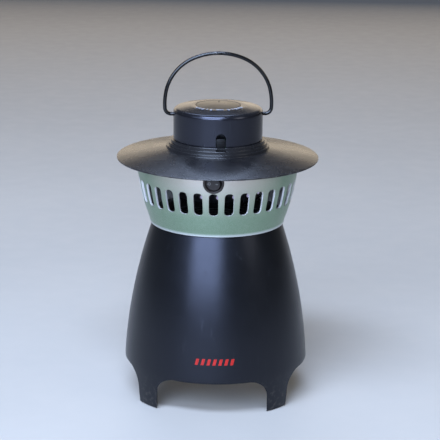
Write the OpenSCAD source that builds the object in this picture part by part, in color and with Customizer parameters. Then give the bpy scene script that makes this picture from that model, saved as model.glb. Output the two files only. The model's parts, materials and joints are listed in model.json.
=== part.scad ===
// Outdoor insect trap: a bell-shaped housing on four legs, a slotted intake collar, a wide rain hat
// and a cap with a wire bail. Ultraviolet lamps and a scent cartridge draw insects in through the
// collar, and a fan pulls them down into a catch basket inside the housing.
// Millimetres, +Z up, front towards -Y, origin on the ground under the trap's axis.

/* [Housing] */
// Largest radius of the bell-shaped housing
belly_r = 105.4; // [104:0.2:107]
// Height of that largest radius
belly_z = 42; // [41:1:44]
// Height where the collar's lip meets the housing
seam_z = 201; // [200:0.5:202]
// Wall thickness of the housing
housing_wall = 2.6; // [2.2:0.2:3]
// Half width of each arch between two legs
arch_half = 62; // [56:1:64]
// Height of the arches
arch_top = 40; // [36:1:41]
// Radius of an arch's upper corners
arch_corner = 20; // [14:1:22]

/* [Collar] */
// Outer radius of the collar at its foot
collar_foot_r = 75.6; // [75:0.2:76]
// Wall thickness of the collar
collar_wall = 2.5; // [2:0.1:2.6]
// Number of intake slots round the collar
slot_count = 32; // [28:4:32]
// Width of an intake slot
slot_w = 10.3; // [9:0.1:10.5]
// Height of an intake slot
slot_h = 26; // [22:1:26]
// Height of the slots' middle
slot_z = 240.7; // [240:0.1:242]

/* [Hat and cap] */
// Radius of the hat's brim
brim_r = 114; // [110:1:116]
// Height of the brim's lower edge
brim_z = 274.3; // [274:0.1:275]
// Thickness of the brim
brim_t = 1.6; // [1.4:0.1:2]
// Outer radius of the cap
cap_r = 50.3; // [50:0.1:50.5]
// Height of the flat ring round the lid, on the cap's domed top
cap_top = 334.2; // [333.5:0.1:335]
// Radius of the cap's rounded shoulder
cap_shoulder = 5; // [4:0.5:6]
// Turn of the cap, with its latch and its handle, from the front
cap_turn = 6.5; // [0:0.5:10]

/* [Handle] */
// Diameter of the bail's wire
wire_d = 4.2; // [4:0.1:4.4]
// Height of the bail's pivots
pivot_z = 324.2; // [323:0.1:325]

/* [Switch and inlet] */
// Diameter of the round switch's bezel
bezel_d = 23; // [22.5:0.1:23]
// Height of the switch's middle
switch_z = 265.8; // [265:0.1:266]
// Angle that the rocker turns from off to on
rocker_throw = 18; // [14:1:18]

/* [Fan and basket] */
// Inner radius of the fan's duct
duct_r = 57.8; // [57:0.1:58]
// Number of fan blades
blade_count = 7; // [5:1:9]
// Height of the basket's floor
basket_floor = 60; // [58:1:64]
// Number of lamps round the lamp housing
lamp_count = 18; // [12:6:24]

/* [Hidden] */
$fn = 96;
// Gap left between curved faces of pieces that move past each other
gap = 0.3;
// Radial play of a shaft or pin in its own hole
play = 0.08;
// Overlap used where one cut or union passes a face
eps = 0.05;

// Housing outline
housing_lean = 0.06;
housing_curve = 0.00088;
foot_tuck = 2;
leg_edge_z = 1;
neck_r = 72.8;
neck_top = 207;
post_angle = 8;
post_depth = 9;
pad_h = 3;
grille_z = 44;
grille_t = 3;
post_screw_ring = housing_r(grille_z) - housing_wall - post_depth / 2;

// Collar outline and its foot
collar_flare = 0.38;
collar_curve = 0.0022;
collar_top = 278;
flange_z = neck_top + 0.2;
flange_t = 2;
flange_in = 66.9;
slot_corner = 4.2;
boss_ring = 84.6;
boss_r = 5;
boss_z = 262;
boss_gap = 0.4;
slot_pitch = 360 / slot_count;

// Hat and cap
brim_slope = 0.18;
ring_r = [58, 55.5, 53];
ring_h = 3.4;
deck_z = brim_z + (brim_r - ring_r[0]) * brim_slope;
deck_top = deck_z + brim_t;
cap_foot = deck_top + 3 * ring_h;
cap_wall = 2.3;
hat_neck_r = 46.2;
hat_neck_wall = 2.5;
hat_neck_top = cap_foot + 7;
hat_neck_in = hat_neck_r - hat_neck_wall;
hat_hollow = deck_z + 6;
window_w = 11.2;
window_top = 311.5;
lug_h = 2.4;
cap_lug_z = cap_foot + 0.6;
hat_lug_z = cap_lug_z + lug_h + 0.2;
dome_tilt = 9.5;
dome_r = 31;
shoulder_in = cap_r - cap_shoulder;
shoulder_z = cap_top - (shoulder_in + cap_shoulder * sin(dome_tilt) - dome_r) * tan(dome_tilt)
    - cap_shoulder * cos(dome_tilt);

// Scent lid and its cup
lid_r = 25;
lid_top = cap_top + 1;
lid_seat = cap_top - 1.9;
lid_under = lid_seat - 2.3;
lid_slot_w = 26;
lid_lug_w = 22;
lid_neck_r = 20.5;
lid_lug_r = 23;
cup_in = 24.6;
cup_wall = 1.8;
cup_floor = 301;

// Latch: the tongue turns on a pin across a notch in the hat's top ring
tongue_root = cap_foot - 1.9;
tongue_top = 305.5;
tongue_w = 10;
tongue_in = 47.2;
tongue_out = 49.4;
tongue_mid = (tongue_in + tongue_out) / 2;
tongue_foot = ring_r[2] - 0.6;
eye_r = 1.7;
latch_pin_r = 0.9;
latch_pin_w = 14.4;
notch_w = 10.8;
notch_z = tongue_root - eye_r - 0.3;

// Handle: bends of one half from the pivot pin to the crown, as [bend radius, turned angle]
bends = [[7, 86.4], [73, 14], [52, 57], [72, 22.6]];
// Turn between two rings of the bow
bow_step = 8;
pin_inner = 41.5;
bush_r = wire_d / 2 + play + 1.2;
pivot_boss_r = 5;
pivot_boss_in = 43;

// Lamp housing
lamp_r = 52;
lamp_wall = 2.2;
lamp_split_z = 234;
lamp_floor_z = 225.5;
lamp_row_z = 240;
led_r = 2.5;
lamp_screw_ring = lamp_r - 8;
lead_hole_r = 2.8;

// Fan
duct_wall = 2.5;
duct_out = duct_r + duct_wall;
duct_foot = 160;
duct_throat = 199;
mouth_z = flange_z + flange_t;
mouth_top = mouth_z + 2;
mouth_r = flange_in - 1.5;
duct_screw_ring = 70.6;
duct_screw_turn = 45 - slot_pitch / 2;
spider_z = 162;
motor_r = 14;
motor_z = 165;
motor_h = 13;
shaft_r = 1.5;
impeller_z = 179.5;
impeller_h = 12;
hub_r = 18;
blade_tip = duct_r - 2.8;
guard_z = 201;
guard_t = 2;
guard_rim = 2.4;

// Catch basket
basket_in = 63.7;
basket_out = 66.2;
basket_top = 169;
ring_foot = 150;
base_t = 2.4;
hoop_t = 2.4;
hoop_h = 3;
hook_z = spider_z + 2.9;

// Switch and inlet, measured in from the collar's face
switch_lean = atan(collar_flare - 2 * collar_curve * (switch_z - seam_z));
seat_y = collar_r(switch_z) - 0.8;
barrel_r = 9.95;
barrel_in = 9.3;
rocker_r = 8.5;
rocker_depth = 4;
bezel_h = 2.3;
rocker_pin_r = 0.9;
rocker_pin_half = 9.7;
inlet_seat = collar_r(switch_z) - 0.9;
jack_r = 4;

// Screws
screw_r = 1.5;
screw_head_r = 2.9;
screw_head_h = 2;

function housing_r(z) = z > belly_z
    ? belly_r - housing_lean * (z - belly_z) - housing_curve * pow(z - belly_z, 2)
    : belly_r - foot_tuck * pow((belly_z - z) / belly_z, 2);
function collar_r(z) = collar_foot_r + collar_flare * (z - seam_z) - collar_curve * pow(z - seam_z, 2);
function steps(from, to, n) = [for (i = [0:n]) from + (to - from) * i / n];
function backwards(v) = [for (i = [len(v) - 1:-1:0]) v[i]];
function brim_under(r) = brim_z + (brim_r - r) * brim_slope;
function duct_in(z) = duct_r + (z - duct_throat) * (mouth_r - duct_r) / (mouth_top - duct_throat);

// The sector of a turned outline, centred on an angle measured from the front towards +X
module sector(turn, width) {
    rotate([0, 0, turn - 90 - width / 2]) rotate_extrude(angle = width) children();
}

// Children repeated round the axis, starting from the front plus an offset
module around(count, offset = 0) {
    for (i = [0:count - 1]) rotate([0, 0, offset + i * 360 / count]) children();
}

// A rounded-corner rectangle standing in the X-Z plane and running along Y
module window_prism(w, h, corner, from_y, to_y) {
    translate([0, to_y, 0]) rotate([90, 0, 0]) linear_extrude(to_y - from_y) {
        square([w, h - 2 * corner], center = true);
        square([w - 2 * corner, h], center = true);
        for (sx = [-1, 1], sz = [-1, 1])
            translate([sx * (w / 2 - corner), sz * (h / 2 - corner)]) circle(corner);
    }
}

// A pan-head screw along +Z with its head's top face at the origin, and the thread running down
module screw(length) {
    translate([0, 0, -screw_head_h]) difference() {
        cylinder(h = screw_head_h, r = screw_head_r);
        for (a = [0, 90]) rotate([0, 0, a])
            translate([-2, -0.4, screw_head_h - 1]) cube([4, 0.8, 1 + eps]);
    }
    translate([0, 0, -screw_head_h - length]) cylinder(h = length + eps, r = screw_r);
}

// ---------------------------------------------------------------- housing

module housing_profile() {
    skin = steps(leg_edge_z, seam_z - 1, 14);
    polygon(concat(
        [for (z = skin) [housing_r(z), z]],
        [[neck_r, seam_z - 0.4], [neck_r, neck_top]],
        [[neck_r - housing_wall, neck_top]],
        [for (z = backwards(skin)) [housing_r(z) - housing_wall, z]]));
}

// One arch outline, cut right through the housing from front to back
module arch_cut() {
    reach = belly_r + 5;
    translate([0, reach, 0]) rotate([90, 0, 0]) linear_extrude(2 * reach) {
        translate([-arch_half, -1]) square([2 * arch_half, arch_top - arch_corner + 1]);
        translate([arch_corner - arch_half, 0])
            square([2 * (arch_half - arch_corner), arch_top]);
        for (s = [-1, 1])
            translate([s * (arch_half - arch_corner), arch_top - arch_corner]) circle(arch_corner);
    }
}

// Post inside a leg: it carries the foot pad below and the grille above
module leg_post() {
    sector(0, post_angle) polygon([
        [housing_r(grille_z) - housing_wall - post_depth, grille_z],
        [housing_r(grille_z) - housing_wall + 1, grille_z],
        [housing_r(pad_h) - housing_wall + 1, pad_h],
        [housing_r(pad_h) - housing_wall - post_depth + 3, pad_h]]);
}

module lower_housing() {
    color("#24262b") difference() {
        union() {
            difference() {
                rotate_extrude() housing_profile();
                for (a = [0, 90]) rotate([0, 0, a]) arch_cut();
            }
            around(4, 45) leg_post();
        }
        around(4, 45) translate([0, -post_screw_ring, grille_z - 9]) cylinder(h = 10, r = screw_r + play);
    }
}

module foot_pads() {
    inner = housing_r(pad_h) - housing_wall - post_depth + 4;
    outer = housing_r(leg_edge_z) - housing_wall - 0.05;
    color("#1a1a1a") around(4, 45) sector(0, post_angle - 2)
        polygon([[inner, 1], [inner + 1, 0], [outer - 1, 0], [outer, 1], [outer, pad_h], [inner, pad_h]]);
}

module outlet_grille() {
    rim = housing_r(grille_z) - housing_wall - 0.5;
    color("#222222") difference() {
        union() {
            for (r = [14:14:84]) rotate_extrude() translate([r, grille_z]) square([2.4, grille_t]);
            rotate_extrude() translate([rim - 11, grille_z]) square([11, grille_t]);
            around(8, 22.5) translate([-1.5, -rim + 2, grille_z]) cube([3, rim - 16, grille_t]);
            translate([0, 0, grille_z]) cylinder(h = grille_t, r = 15);
        }
        around(4, 45) translate([0, -post_screw_ring, grille_z - 1])
            cylinder(h = grille_t + 2, r = screw_r + play);
    }
}

module grille_screws() {
    color("silver") around(4, 45)
        translate([0, -post_screw_ring, grille_z + grille_t + screw_head_h]) screw(9);
}

// ---------------------------------------------------------------- collar

module collar_profile() {
    skin = steps(seam_z + 2.5, collar_top, 9);
    inner = steps(flange_z + flange_t, collar_top, 8);
    polygon(concat(
        [[neck_r + 0.4, seam_z], [collar_foot_r - 0.2, seam_z], [collar_foot_r + 0.9, seam_z + 0.9]],
        [for (z = skin) [collar_r(z), z]],
        [for (z = backwards(inner)) [collar_r(z) - collar_wall, z]],
        [[flange_in, flange_z + flange_t], [flange_in, flange_z], [neck_r + 0.4, flange_z]]));
}

module slotted_collar() {
    color("#9db3a8") difference() {
        union() {
            rotate_extrude() collar_profile();
            around(4, 45) intersection() {
                translate([0, -boss_ring, boss_z]) cylinder(h = collar_top - boss_z - boss_gap, r = boss_r);
                translate([0, 0, boss_z]) cylinder(h = collar_top, r = collar_r(boss_z) - 1);
            }
        }
        around(slot_count) translate([0, 0, slot_z])
            window_prism(slot_w, slot_h, slot_corner, -100, -68);
        around(4, 45) translate([0, -boss_ring, boss_z - 1]) cylinder(h = 30, r = screw_r + play);
        around(4, duct_screw_turn) translate([0, -duct_screw_ring, flange_z - 1])
            cylinder(h = flange_t + 2, r = screw_r + play);
        at_switch() {
            cylinder(h = 6, r = bezel_d / 2 + 0.1);
            translate([0, 0, -12]) cylinder(h = 20, r = barrel_r + 0.1);
        }
        at_inlet() {
            cylinder(h = 6, r = 6.1);
            translate([0, 0, -8]) cylinder(h = 10, r = jack_r + 0.05);
        }
    }
}

// ---------------------------------------------------------------- fan

module duct_profile() {
    rim = collar_r(mouth_z) - collar_wall - 0.4;
    polygon([[rim, mouth_z], [rim, mouth_top], [mouth_r, mouth_top], [duct_r, duct_throat],
        [duct_r, duct_foot], [duct_out, duct_foot], [duct_out, duct_throat - 1],
        [flange_in - gap, mouth_z]]);
}

module fan_duct() {
    color("#1d1d1f") difference() {
        union() {
            rotate_extrude() duct_profile();
            rotate_extrude() translate([motor_r + 0.2, spider_z]) square([2.2, 12]);
            translate([0, 0, spider_z]) cylinder(h = motor_z - spider_z, r = motor_r + 1);
            around(4, 45) translate([-2, -duct_r - 1, spider_z]) cube([4, duct_r - motor_r, 6]);
            around(3) sector(0, 22) translate([duct_out - 0.5, spider_z]) square([3, 2.6]);
        }
        around(4, duct_screw_turn) translate([0, -duct_screw_ring, mouth_z - 1])
            cylinder(h = 4, r = screw_r + play);
        translate([0, 0, spider_z - 1]) cylinder(h = 6, r = 3);
    }
}

module duct_screws() {
    color("silver") around(4, duct_screw_turn)
        translate([0, -duct_screw_ring, mouth_top + screw_head_h]) screw(3.6);
}

module fan_guard() {
    color("#2b2b2e") {
        for (r = [18:10:48]) rotate_extrude() translate([r, guard_z]) square([1.6, guard_t]);
        rotate_extrude() polygon([[duct_r - 1.2, guard_z], [duct_in(guard_z) - 0.1, guard_z],
            [duct_in(guard_z + guard_rim) - 0.1, guard_z + guard_rim], [duct_r - 1.2, guard_z + guard_rim]]);
        around(6) translate([-0.9, -duct_r, guard_z]) cube([1.8, duct_r - 9, guard_t]);
        translate([0, 0, guard_z]) cylinder(h = guard_t, r = 10);
    }
}

module fan_motor() {
    color("#b9bcc0") difference() {
        union() {
            translate([0, 0, motor_z]) cylinder(h = motor_h - 2, r = motor_r);
            translate([0, 0, motor_z + motor_h - 2]) cylinder(h = 2, r = 5);
        }
        translate([0, 0, motor_z + 3]) cylinder(h = motor_h, r = shaft_r + play);
    }
}

module motor_shaft() {
    color("silver") translate([0, 0, motor_z + 3.5]) cylinder(h = 21, r = shaft_r);
}

module fan_impeller() {
    mid = impeller_z + impeller_h / 2;
    color("#33363a") difference() {
        union() {
            translate([0, 0, impeller_z]) cylinder(h = impeller_h, r = hub_r);
            intersection() {
                around(blade_count) translate([0, -hub_r + 2, mid]) rotate([0, 38, 0])
                    translate([-9, -blade_tip, -0.8]) cube([18, blade_tip, 1.6]);
                translate([0, 0, impeller_z]) cylinder(h = impeller_h, r = blade_tip);
                rotate_extrude() translate([hub_r - 1, impeller_z]) square([60, impeller_h]);
            }
        }
        translate([0, 0, impeller_z - 1]) cylinder(h = impeller_h - 2, r = hub_r - 1.8);
        translate([0, 0, impeller_z]) cylinder(h = impeller_h + 1, r = shaft_r);
    }
}

// ---------------------------------------------------------------- catch basket

module basket_ring() {
    color("#2a2d31") {
        rotate_extrude() polygon([[basket_in, ring_foot], [basket_out, ring_foot],
            [basket_out, ring_foot + 5], [basket_out + 1.6, ring_foot + 6],
            [basket_out + 1.6, ring_foot + 8], [basket_out, ring_foot + 9], [basket_out, basket_top],
            [basket_in, basket_top]]);
        around(3) sector(0, 24) translate([duct_out + 0.5, hook_z]) square([basket_in - duct_out, 2.6]);
    }
}

module basket_base() {
    color("#2a2d31") translate([0, 0, basket_floor]) cylinder(h = base_t, r = basket_out);
}

module basket_frame() {
    foot = basket_floor + base_t;
    color("#2a2d31") {
        around(12) translate([-1.5, -basket_out, foot]) cube([3, hoop_t, ring_foot - foot]);
        for (z = [foot, foot + 42, ring_foot - hoop_h])
            rotate_extrude() translate([basket_in, z]) square([hoop_t, hoop_h]);
    }
}

module basket_mesh() {
    color("#8d9296") rotate_extrude() translate([basket_in - 0.9, basket_floor + base_t + 0.1])
        square([0.6, ring_foot - basket_floor - base_t - 1]);
}

// ---------------------------------------------------------------- lamps

module lamp_housing() {
    top = deck_z - 0.1;
    color("#1b1c20") difference() {
        rotate_extrude() polygon([[lamp_r, lamp_split_z], [lamp_r + 2, top], [lamp_r - 12, top],
            [lamp_r - 12, top - 2.4], [lamp_r - lamp_wall + 2, top - 2.4],
            [lamp_r - lamp_wall, lamp_split_z]]);
        around(lamp_count, 4) translate([0, -lamp_r + 6, lamp_row_z]) rotate([90, 0, 0])
            cylinder(h = 12, r = led_r + 0.15);
        around(3, 30) translate([0, -lamp_screw_ring, top - 4]) cylinder(h = 6, r = screw_r + play);
        around(3, 90) translate([0, -lamp_screw_ring, top - 4]) cylinder(h = 6, r = lead_hole_r);
        translate([0, lamp_r - 6, lamp_row_z + 8]) rotate([-90, 0, 0]) cylinder(h = 12, r = 2.5);
    }
}

module lamp_cover() {
    color("#1b1c20") rotate_extrude() polygon([[0, lamp_floor_z], [lamp_r - 9, lamp_floor_z],
        [lamp_r - 1, lamp_split_z - 2], [lamp_r, lamp_split_z], [lamp_r - lamp_wall - 0.1, lamp_split_z],
        [lamp_r - lamp_wall - 0.1, lamp_split_z + 3], [lamp_r - 2 * lamp_wall, lamp_split_z + 3],
        [lamp_r - 2 * lamp_wall, lamp_split_z - 1], [lamp_r - 10, lamp_floor_z + lamp_wall],
        [0, lamp_floor_z + lamp_wall]]);
}

module lamp_screws() {
    color("silver") around(3, 30) translate([0, -lamp_screw_ring, deck_z - 2.5 - screw_head_h])
        rotate([180, 0, 0]) screw(4.3);
}

module led_board() {
    color("#3b6b45") rotate_extrude() translate([lamp_r - 5.2, lamp_row_z - 2.6]) square([1.4, 8]);
}

module uv_leds() {
    base = lamp_r - 3.7;
    color("#c9b8ff") around(lamp_count, 4) translate([0, -base, lamp_row_z]) rotate([90, 0, 0]) {
        cylinder(h = 5.4 - led_r, r = led_r);
        translate([0, 0, 5.4 - led_r]) sphere(led_r);
    }
}

// ---------------------------------------------------------------- switch and inlet

// Children drawn in the switch's own frame: +Z out of the collar, +Y up the collar's face
module at_switch() {
    translate([0, -seat_y, switch_z]) rotate([90 + switch_lean, 0, 0]) children();
}

// Children drawn along the rocker's hinge, +Z along the hinge and the middle at the origin
module on_rocker_hinge() {
    translate([0, 0, bezel_h - rocker_depth]) rotate([90, 0, 0]) children();
}

module switch_body() {
    rim = bezel_d / 2;
    color("#4a4340") at_switch() {
        rotate_extrude() polygon([[rocker_r + 0.1, 0], [rocker_r + 0.1, bezel_h - 0.4],
            [rocker_r + 0.7, bezel_h], [rim - 0.8, bezel_h], [rim, bezel_h - 0.8], [rim, 0]]);
        difference() {
            translate([0, 0, -13]) cylinder(h = 13.02, r = barrel_r);
            translate([0, 0, -11]) cylinder(h = 11.1, r = barrel_in);
            on_rocker_hinge() cylinder(h = 2 * barrel_r + 2, r = rocker_pin_r + play, center = true);
        }
        for (sx = [-5, 5]) translate([sx - 0.4, -2.4, -18]) cube([0.8, 4.8, 5.1]);
    }
}

// The rocker's side outline: two raised ends and a hollow middle
module rocker_outline() {
    tip = rocker_depth - 0.1;
    polygon([[-rocker_r, tip - 0.2], [-rocker_r + 0.9, tip], [0, tip - 1],
        [rocker_r - 0.9, tip], [rocker_r, tip - 0.2], [rocker_r - 1.5, -5], [-rocker_r + 1.5, -5]]);
}

module switch_rocker() {
    color("#5a4f4a") at_switch() {
        translate([0, 0, bezel_h - rocker_depth]) rotate([0, -rocker_throw / 2, 0]) intersection() {
            sphere(rocker_r);
            rotate([90, 0, 0]) translate([0, 0, -9]) linear_extrude(18) rocker_outline();
        }
        on_rocker_hinge() cylinder(h = 2 * rocker_pin_half, r = rocker_pin_r, center = true);
    }
}

// Children drawn in the inlet's own frame: +Z out of the collar at the rear
module at_inlet() {
    translate([0, inlet_seat, switch_z]) rotate([-90, 0, 0]) children();
}

module inlet_jack() {
    color("#26262a") at_inlet() {
        difference() {
            union() {
                cylinder(h = 1.6, r = 6);
                translate([0, 0, -11]) cylinder(h = 11.1, r = jack_r);
            }
            translate([0, 0, -9]) cylinder(h = 12, r = 2.75);
        }
        translate([0, 0, -9.1]) cylinder(h = 8, r = 1);
    }
}

module jack_nut() {
    color("silver") at_inlet() difference() {
        translate([0, 0, -5]) cylinder(h = 2, r = 6, $fn = 6);
        translate([0, 0, -6]) cylinder(h = 4, r = jack_r + 0.05);
    }
}

// ---------------------------------------------------------------- hat

module hat_profile() {
    polygon([[0, deck_z], [ring_r[2] - 5, deck_z],
        [ring_r[2] - 5, hat_hollow], [ring_r[2] - 1, hat_hollow],
        [ring_r[0] - 2, deck_z + 3], [ring_r[0] - 2, brim_under(ring_r[0] - 2)],
        [brim_r - 0.7, brim_z + 0.1], [brim_r, brim_z + 0.6], [brim_r, brim_z + brim_t - 0.5],
        [brim_r - 0.8, brim_z + brim_t + 0.1],
        [ring_r[0], deck_top], [ring_r[0], deck_top + ring_h - 0.8], [ring_r[0] - 0.8, deck_top + ring_h],
        [ring_r[1], deck_top + ring_h], [ring_r[1], deck_top + 2 * ring_h - 0.8],
        [ring_r[1] - 0.8, deck_top + 2 * ring_h], [ring_r[2], deck_top + 2 * ring_h],
        [ring_r[2], cap_foot - 0.8], [ring_r[2] - 0.8, cap_foot - 0.1],
        [hat_neck_r, cap_foot - 0.1], [hat_neck_r, hat_neck_top], [hat_neck_in, hat_neck_top],
        [hat_neck_in, deck_top], [0, deck_top]]);
}

// Short posts under the brim that stand on the collar's bosses
module hat_posts() {
    foot = collar_top - boss_gap + 0.2;
    far = boss_ring + 10;
    near = boss_ring - 10;
    intersection() {
        around(4, 45) translate([0, -boss_ring, foot]) cylinder(h = 6, r = boss_r - 0.5);
        rotate_extrude() polygon([[near, foot - 1], [far, foot - 1],
            [far, brim_under(far) + brim_t / 2], [near, brim_under(near) + brim_t / 2]]);
    }
}

module rain_hat() {
    color("#26272b") difference() {
        union() {
            rotate_extrude() hat_profile();
            around(3, cap_turn + 60) sector(0, 26)
                translate([hat_neck_r - 0.5, hat_lug_z]) square([1.9, lug_h]);
            hat_posts();
        }
        around(4, 45) translate([0, -boss_ring, collar_top - 1]) cylinder(h = 3.2, r = screw_r + play);
        around(3, 30) translate([0, -lamp_screw_ring, deck_z - 1]) cylinder(h = 3, r = screw_r + play);
        around(3, 90) translate([0, 6 - lamp_screw_ring, deck_z - 1]) cylinder(h = 5, r = 3.5);
        rotate([0, 0, cap_turn]) {
            translate([-notch_w / 2, -ring_r[2] - 1, notch_z])
                cube([notch_w, ring_r[2] + 2 - hat_neck_in, 30]);
            latch_bore(latch_pin_w + 0.2, latch_pin_r + 0.02);
        }
    }
}

module hat_screws() {
    color("silver") around(4, 45) translate([0, -boss_ring, boss_z - screw_head_h - 0.1])
        rotate([180, 0, 0]) screw(collar_top - boss_z + 1.2);
}

// ---------------------------------------------------------------- latch

// A round bar across the latch's hinge line, in the cap's own turned frame
module latch_bore(w, r) {
    translate([-w / 2, -tongue_mid, tongue_root]) rotate([0, 90, 0]) cylinder(h = w, r = r);
}

module latch_tongue() {
    half = tongue_w / 2;
    color("#2b2d32") rotate([0, 0, cap_turn]) difference() {
        union() {
            translate([-half, -tongue_out, tongue_root])
                cube([tongue_w, tongue_out - tongue_in, tongue_top - tongue_root]);
            translate([-half, -tongue_foot, tongue_root - eye_r])
                cube([tongue_w, tongue_foot - tongue_mid, cap_foot - tongue_root + eye_r - 0.3]);
            latch_bore(tongue_w, eye_r);
        }
        latch_bore(tongue_w + 1, latch_pin_r + play);
    }
}

module latch_pin() {
    color("silver") rotate([0, 0, cap_turn]) latch_bore(latch_pin_w, latch_pin_r);
}

// ---------------------------------------------------------------- driver board

module driver_board() {
    board_z = deck_top + 4;
    color("#2f6b3f") {
        difference() {
            translate([-29, -21, board_z]) cube([58, 42, 1.6]);
            for (sx = [-1, 1], sy = [-1, 1])
                translate([sx * 26, sy * 18, board_z - 1]) cylinder(h = 4, r = 1.6);
        }
        for (sx = [-1, 1], sy = [-1, 1]) translate([sx * 26, sy * 18, deck_top]) difference() {
            cylinder(h = 4 + eps, r = 2.6);
            translate([0, 0, 1]) cylinder(h = 4, r = 1.2);
        }
        translate([-20, -12, board_z + 1.5]) cube([13, 11, 6]);
        for (x = [-2, 10]) translate([x, -10, board_z + 1.5]) cylinder(h = 6.5, r = 4);
        translate([-22, 8, board_z + 1.5]) cube([10, 6, 5]);
        for (x = [-4, 6, 16]) translate([x, 8, board_z + 1.5]) cube([6, 7, 4]);
    }
}

// ---------------------------------------------------------------- cap

// The cap's wall, rounded shoulder and gently domed top, with the lid's recess in the middle
module cap_profile() {
    centre = [shoulder_in, shoulder_z];
    bore = lid_neck_r + 0.5;
    recess = lid_r + 0.35;
    round_out = [for (a = steps(0, 90 - dome_tilt, 8)) centre + cap_shoulder * [cos(a), sin(a)]];
    round_in = [for (a = steps(90 - dome_tilt, 0, 6)) centre + (cap_shoulder - cap_wall) * [cos(a), sin(a)]];
    polygon(concat([[cap_r - cap_wall, cap_foot], [cap_r, cap_foot]], round_out,
        [[dome_r, cap_top], [recess, cap_top], [recess, lid_seat], [bore, lid_seat], [bore, lid_under],
            [recess + cap_wall, lid_under], [dome_r - 1, cap_top - cap_wall]], round_in));
}

// Raised generic marks in front of the lid: two turn arrows and an index bar
module turn_marks() {
    mark_r = 28.5;
    mark_w = 1.6;
    foot = cap_top - 0.4;
    mark_h = 0.9;
    rotate([0, 0, cap_turn]) {
        for (s = [-1, 1]) {
            sector(s * 38, 26) translate([mark_r, foot]) square([mark_w, mark_h]);
            rotate([0, 0, s * 54]) translate([0, -mark_r - mark_w / 2, foot]) rotate([0, 0, s > 0 ? 0 : 180])
                cylinder(h = mark_h, r = 2.6, $fn = 3);
        }
        translate([-4, -mark_r - mark_w, foot]) cube([8, mark_w, mark_h]);
    }
}

// Children drawn on each of the handle's two pivots, +Z outwards from the trap's axis
module at_pivots() {
    rotate([0, 0, cap_turn]) for (s = [-1, 1])
        rotate([0, s * 90, 0]) translate([-s * pivot_z, 0, 0]) children();
}

// The arched window that the latch's tongue shows through
module latch_window() {
    half = window_w / 2;
    reach = 8;
    translate([-half, -cap_r - 1, cap_foot - 1]) cube([window_w, reach, window_top - half - cap_foot + 1]);
    translate([0, -cap_r + reach - 1, window_top - half]) rotate([90, 0, 0]) cylinder(h = reach, r = half);
}

module cap_shell() {
    color("#26282e") difference() {
        union() {
            rotate_extrude() cap_profile();
            turn_marks();
            around(3, cap_turn + 60) sector(0, 22)
                translate([cap_r - cap_wall - 1.3, cap_lug_z]) square([2, lug_h]);
            at_pivots() translate([0, 0, pivot_boss_in])
                cylinder(h = cap_r - pivot_boss_in - 1.5, r = pivot_boss_r);
        }
        at_pivots() translate([0, 0, 40]) cylinder(h = 15, r = bush_r);
        around(3, 100) sector(0, lid_slot_w)
            translate([lid_neck_r, lid_under - 1]) square([lid_lug_r - lid_neck_r + 0.4, 4]);
        rotate([0, 0, cap_turn]) latch_window();
    }
}

module handle_bushes() {
    color("#c8c2b0") at_pivots() difference() {
        union() {
            translate([0, 0, pin_inner]) cylinder(h = cap_r - pin_inner - 0.7, r = bush_r - 0.02);
            translate([0, 0, pin_inner - 0.2])
                cylinder(h = pivot_boss_in - pin_inner + 0.1, r = pivot_boss_r);
        }
        translate([0, 0, 40]) cylinder(h = 15, r = wire_d / 2 + play);
    }
}

module cartridge_cup() {
    color("#303238") difference() {
        rotate_extrude() polygon([[0, cup_floor], [cup_in + cup_wall, cup_floor],
            [cup_in + cup_wall, lid_under], [cup_in, lid_under], [cup_in, cup_floor + cup_wall],
            [0, cup_floor + cup_wall]]);
        around(6, cap_turn) translate([0, 0, 313]) window_prism(8, 12, 2, -30, -20);
    }
}

module scent_cartridge() {
    color("#e8e2cf") {
        translate([0, 0, cup_floor + cup_wall]) cylinder(h = 19, r = 19);
        translate([0, 0, cup_floor + cup_wall + 19 - eps]) cylinder(h = 2.5, r = 12);
    }
}

module lid_seal() {
    color("#3a3a3a") rotate_extrude() translate([lid_neck_r + 2.6, lid_seat + 0.05]) square([1.4, 0.7]);
}

module scent_lid() {
    disc_z = lid_seat + 0.8;
    rim_z = cap_top + 0.1;
    color("#1f2126") difference() {
        union() {
            rotate_extrude() polygon(concat([[0, disc_z], [lid_r, disc_z]],
                [for (r = steps(lid_r, 0, 8)) [r, lid_top - (lid_top - rim_z) * pow(r / lid_r, 2)]]));
            translate([0, 0, lid_under - 3.2]) cylinder(h = disc_z - lid_under + 3.4, r = lid_neck_r);
            around(3, 60) sector(0, lid_lug_w) translate([lid_neck_r - 1, lid_under - 3])
                square([lid_lug_r - lid_neck_r + 1, 2.4]);
        }
        translate([0, 0, lid_under - 4]) cylinder(h = 6.5, r = lid_neck_r - 2);
    }
}

// ---------------------------------------------------------------- bail handle

function turned(i) = i < 0 ? 0 : bends[i][1] + turned(i - 1);
function run_x(i) = i < 0 ? 0 : bends[i][0] * (sin(turned(i)) - sin(turned(i - 1))) + run_x(i - 1);
function run_z(i) = i < 0 ? 0 : bends[i][0] * (cos(turned(i - 1)) - cos(turned(i))) + run_z(i - 1);
// The straight pin ends where the four bends bring the wire exactly to the middle of the crown
pin_outer = -run_x(len(bends) - 1);

// Stations [x, z, heading] along one half of the bow, from the pin's end to the crown
function half_bow() = [for (i = [0:len(bends) - 1])
    let (n = max(2, round(bends[i][1] / bow_step)))
    for (k = [(i == 0 ? 0 : 1):n]) let (start = turned(i - 1), h = start + bends[i][1] * k / n)
        [pin_outer + run_x(i - 1) + bends[i][0] * (sin(h) - sin(start)),
            run_z(i - 1) + bends[i][0] * (cos(start) - cos(h)), h]];
function whole_bow() = let (half = half_bow())
    concat(half, [for (i = [len(half) - 2:-1:0]) [-half[i][0], half[i][1], 360 - half[i][2]]]);

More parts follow.
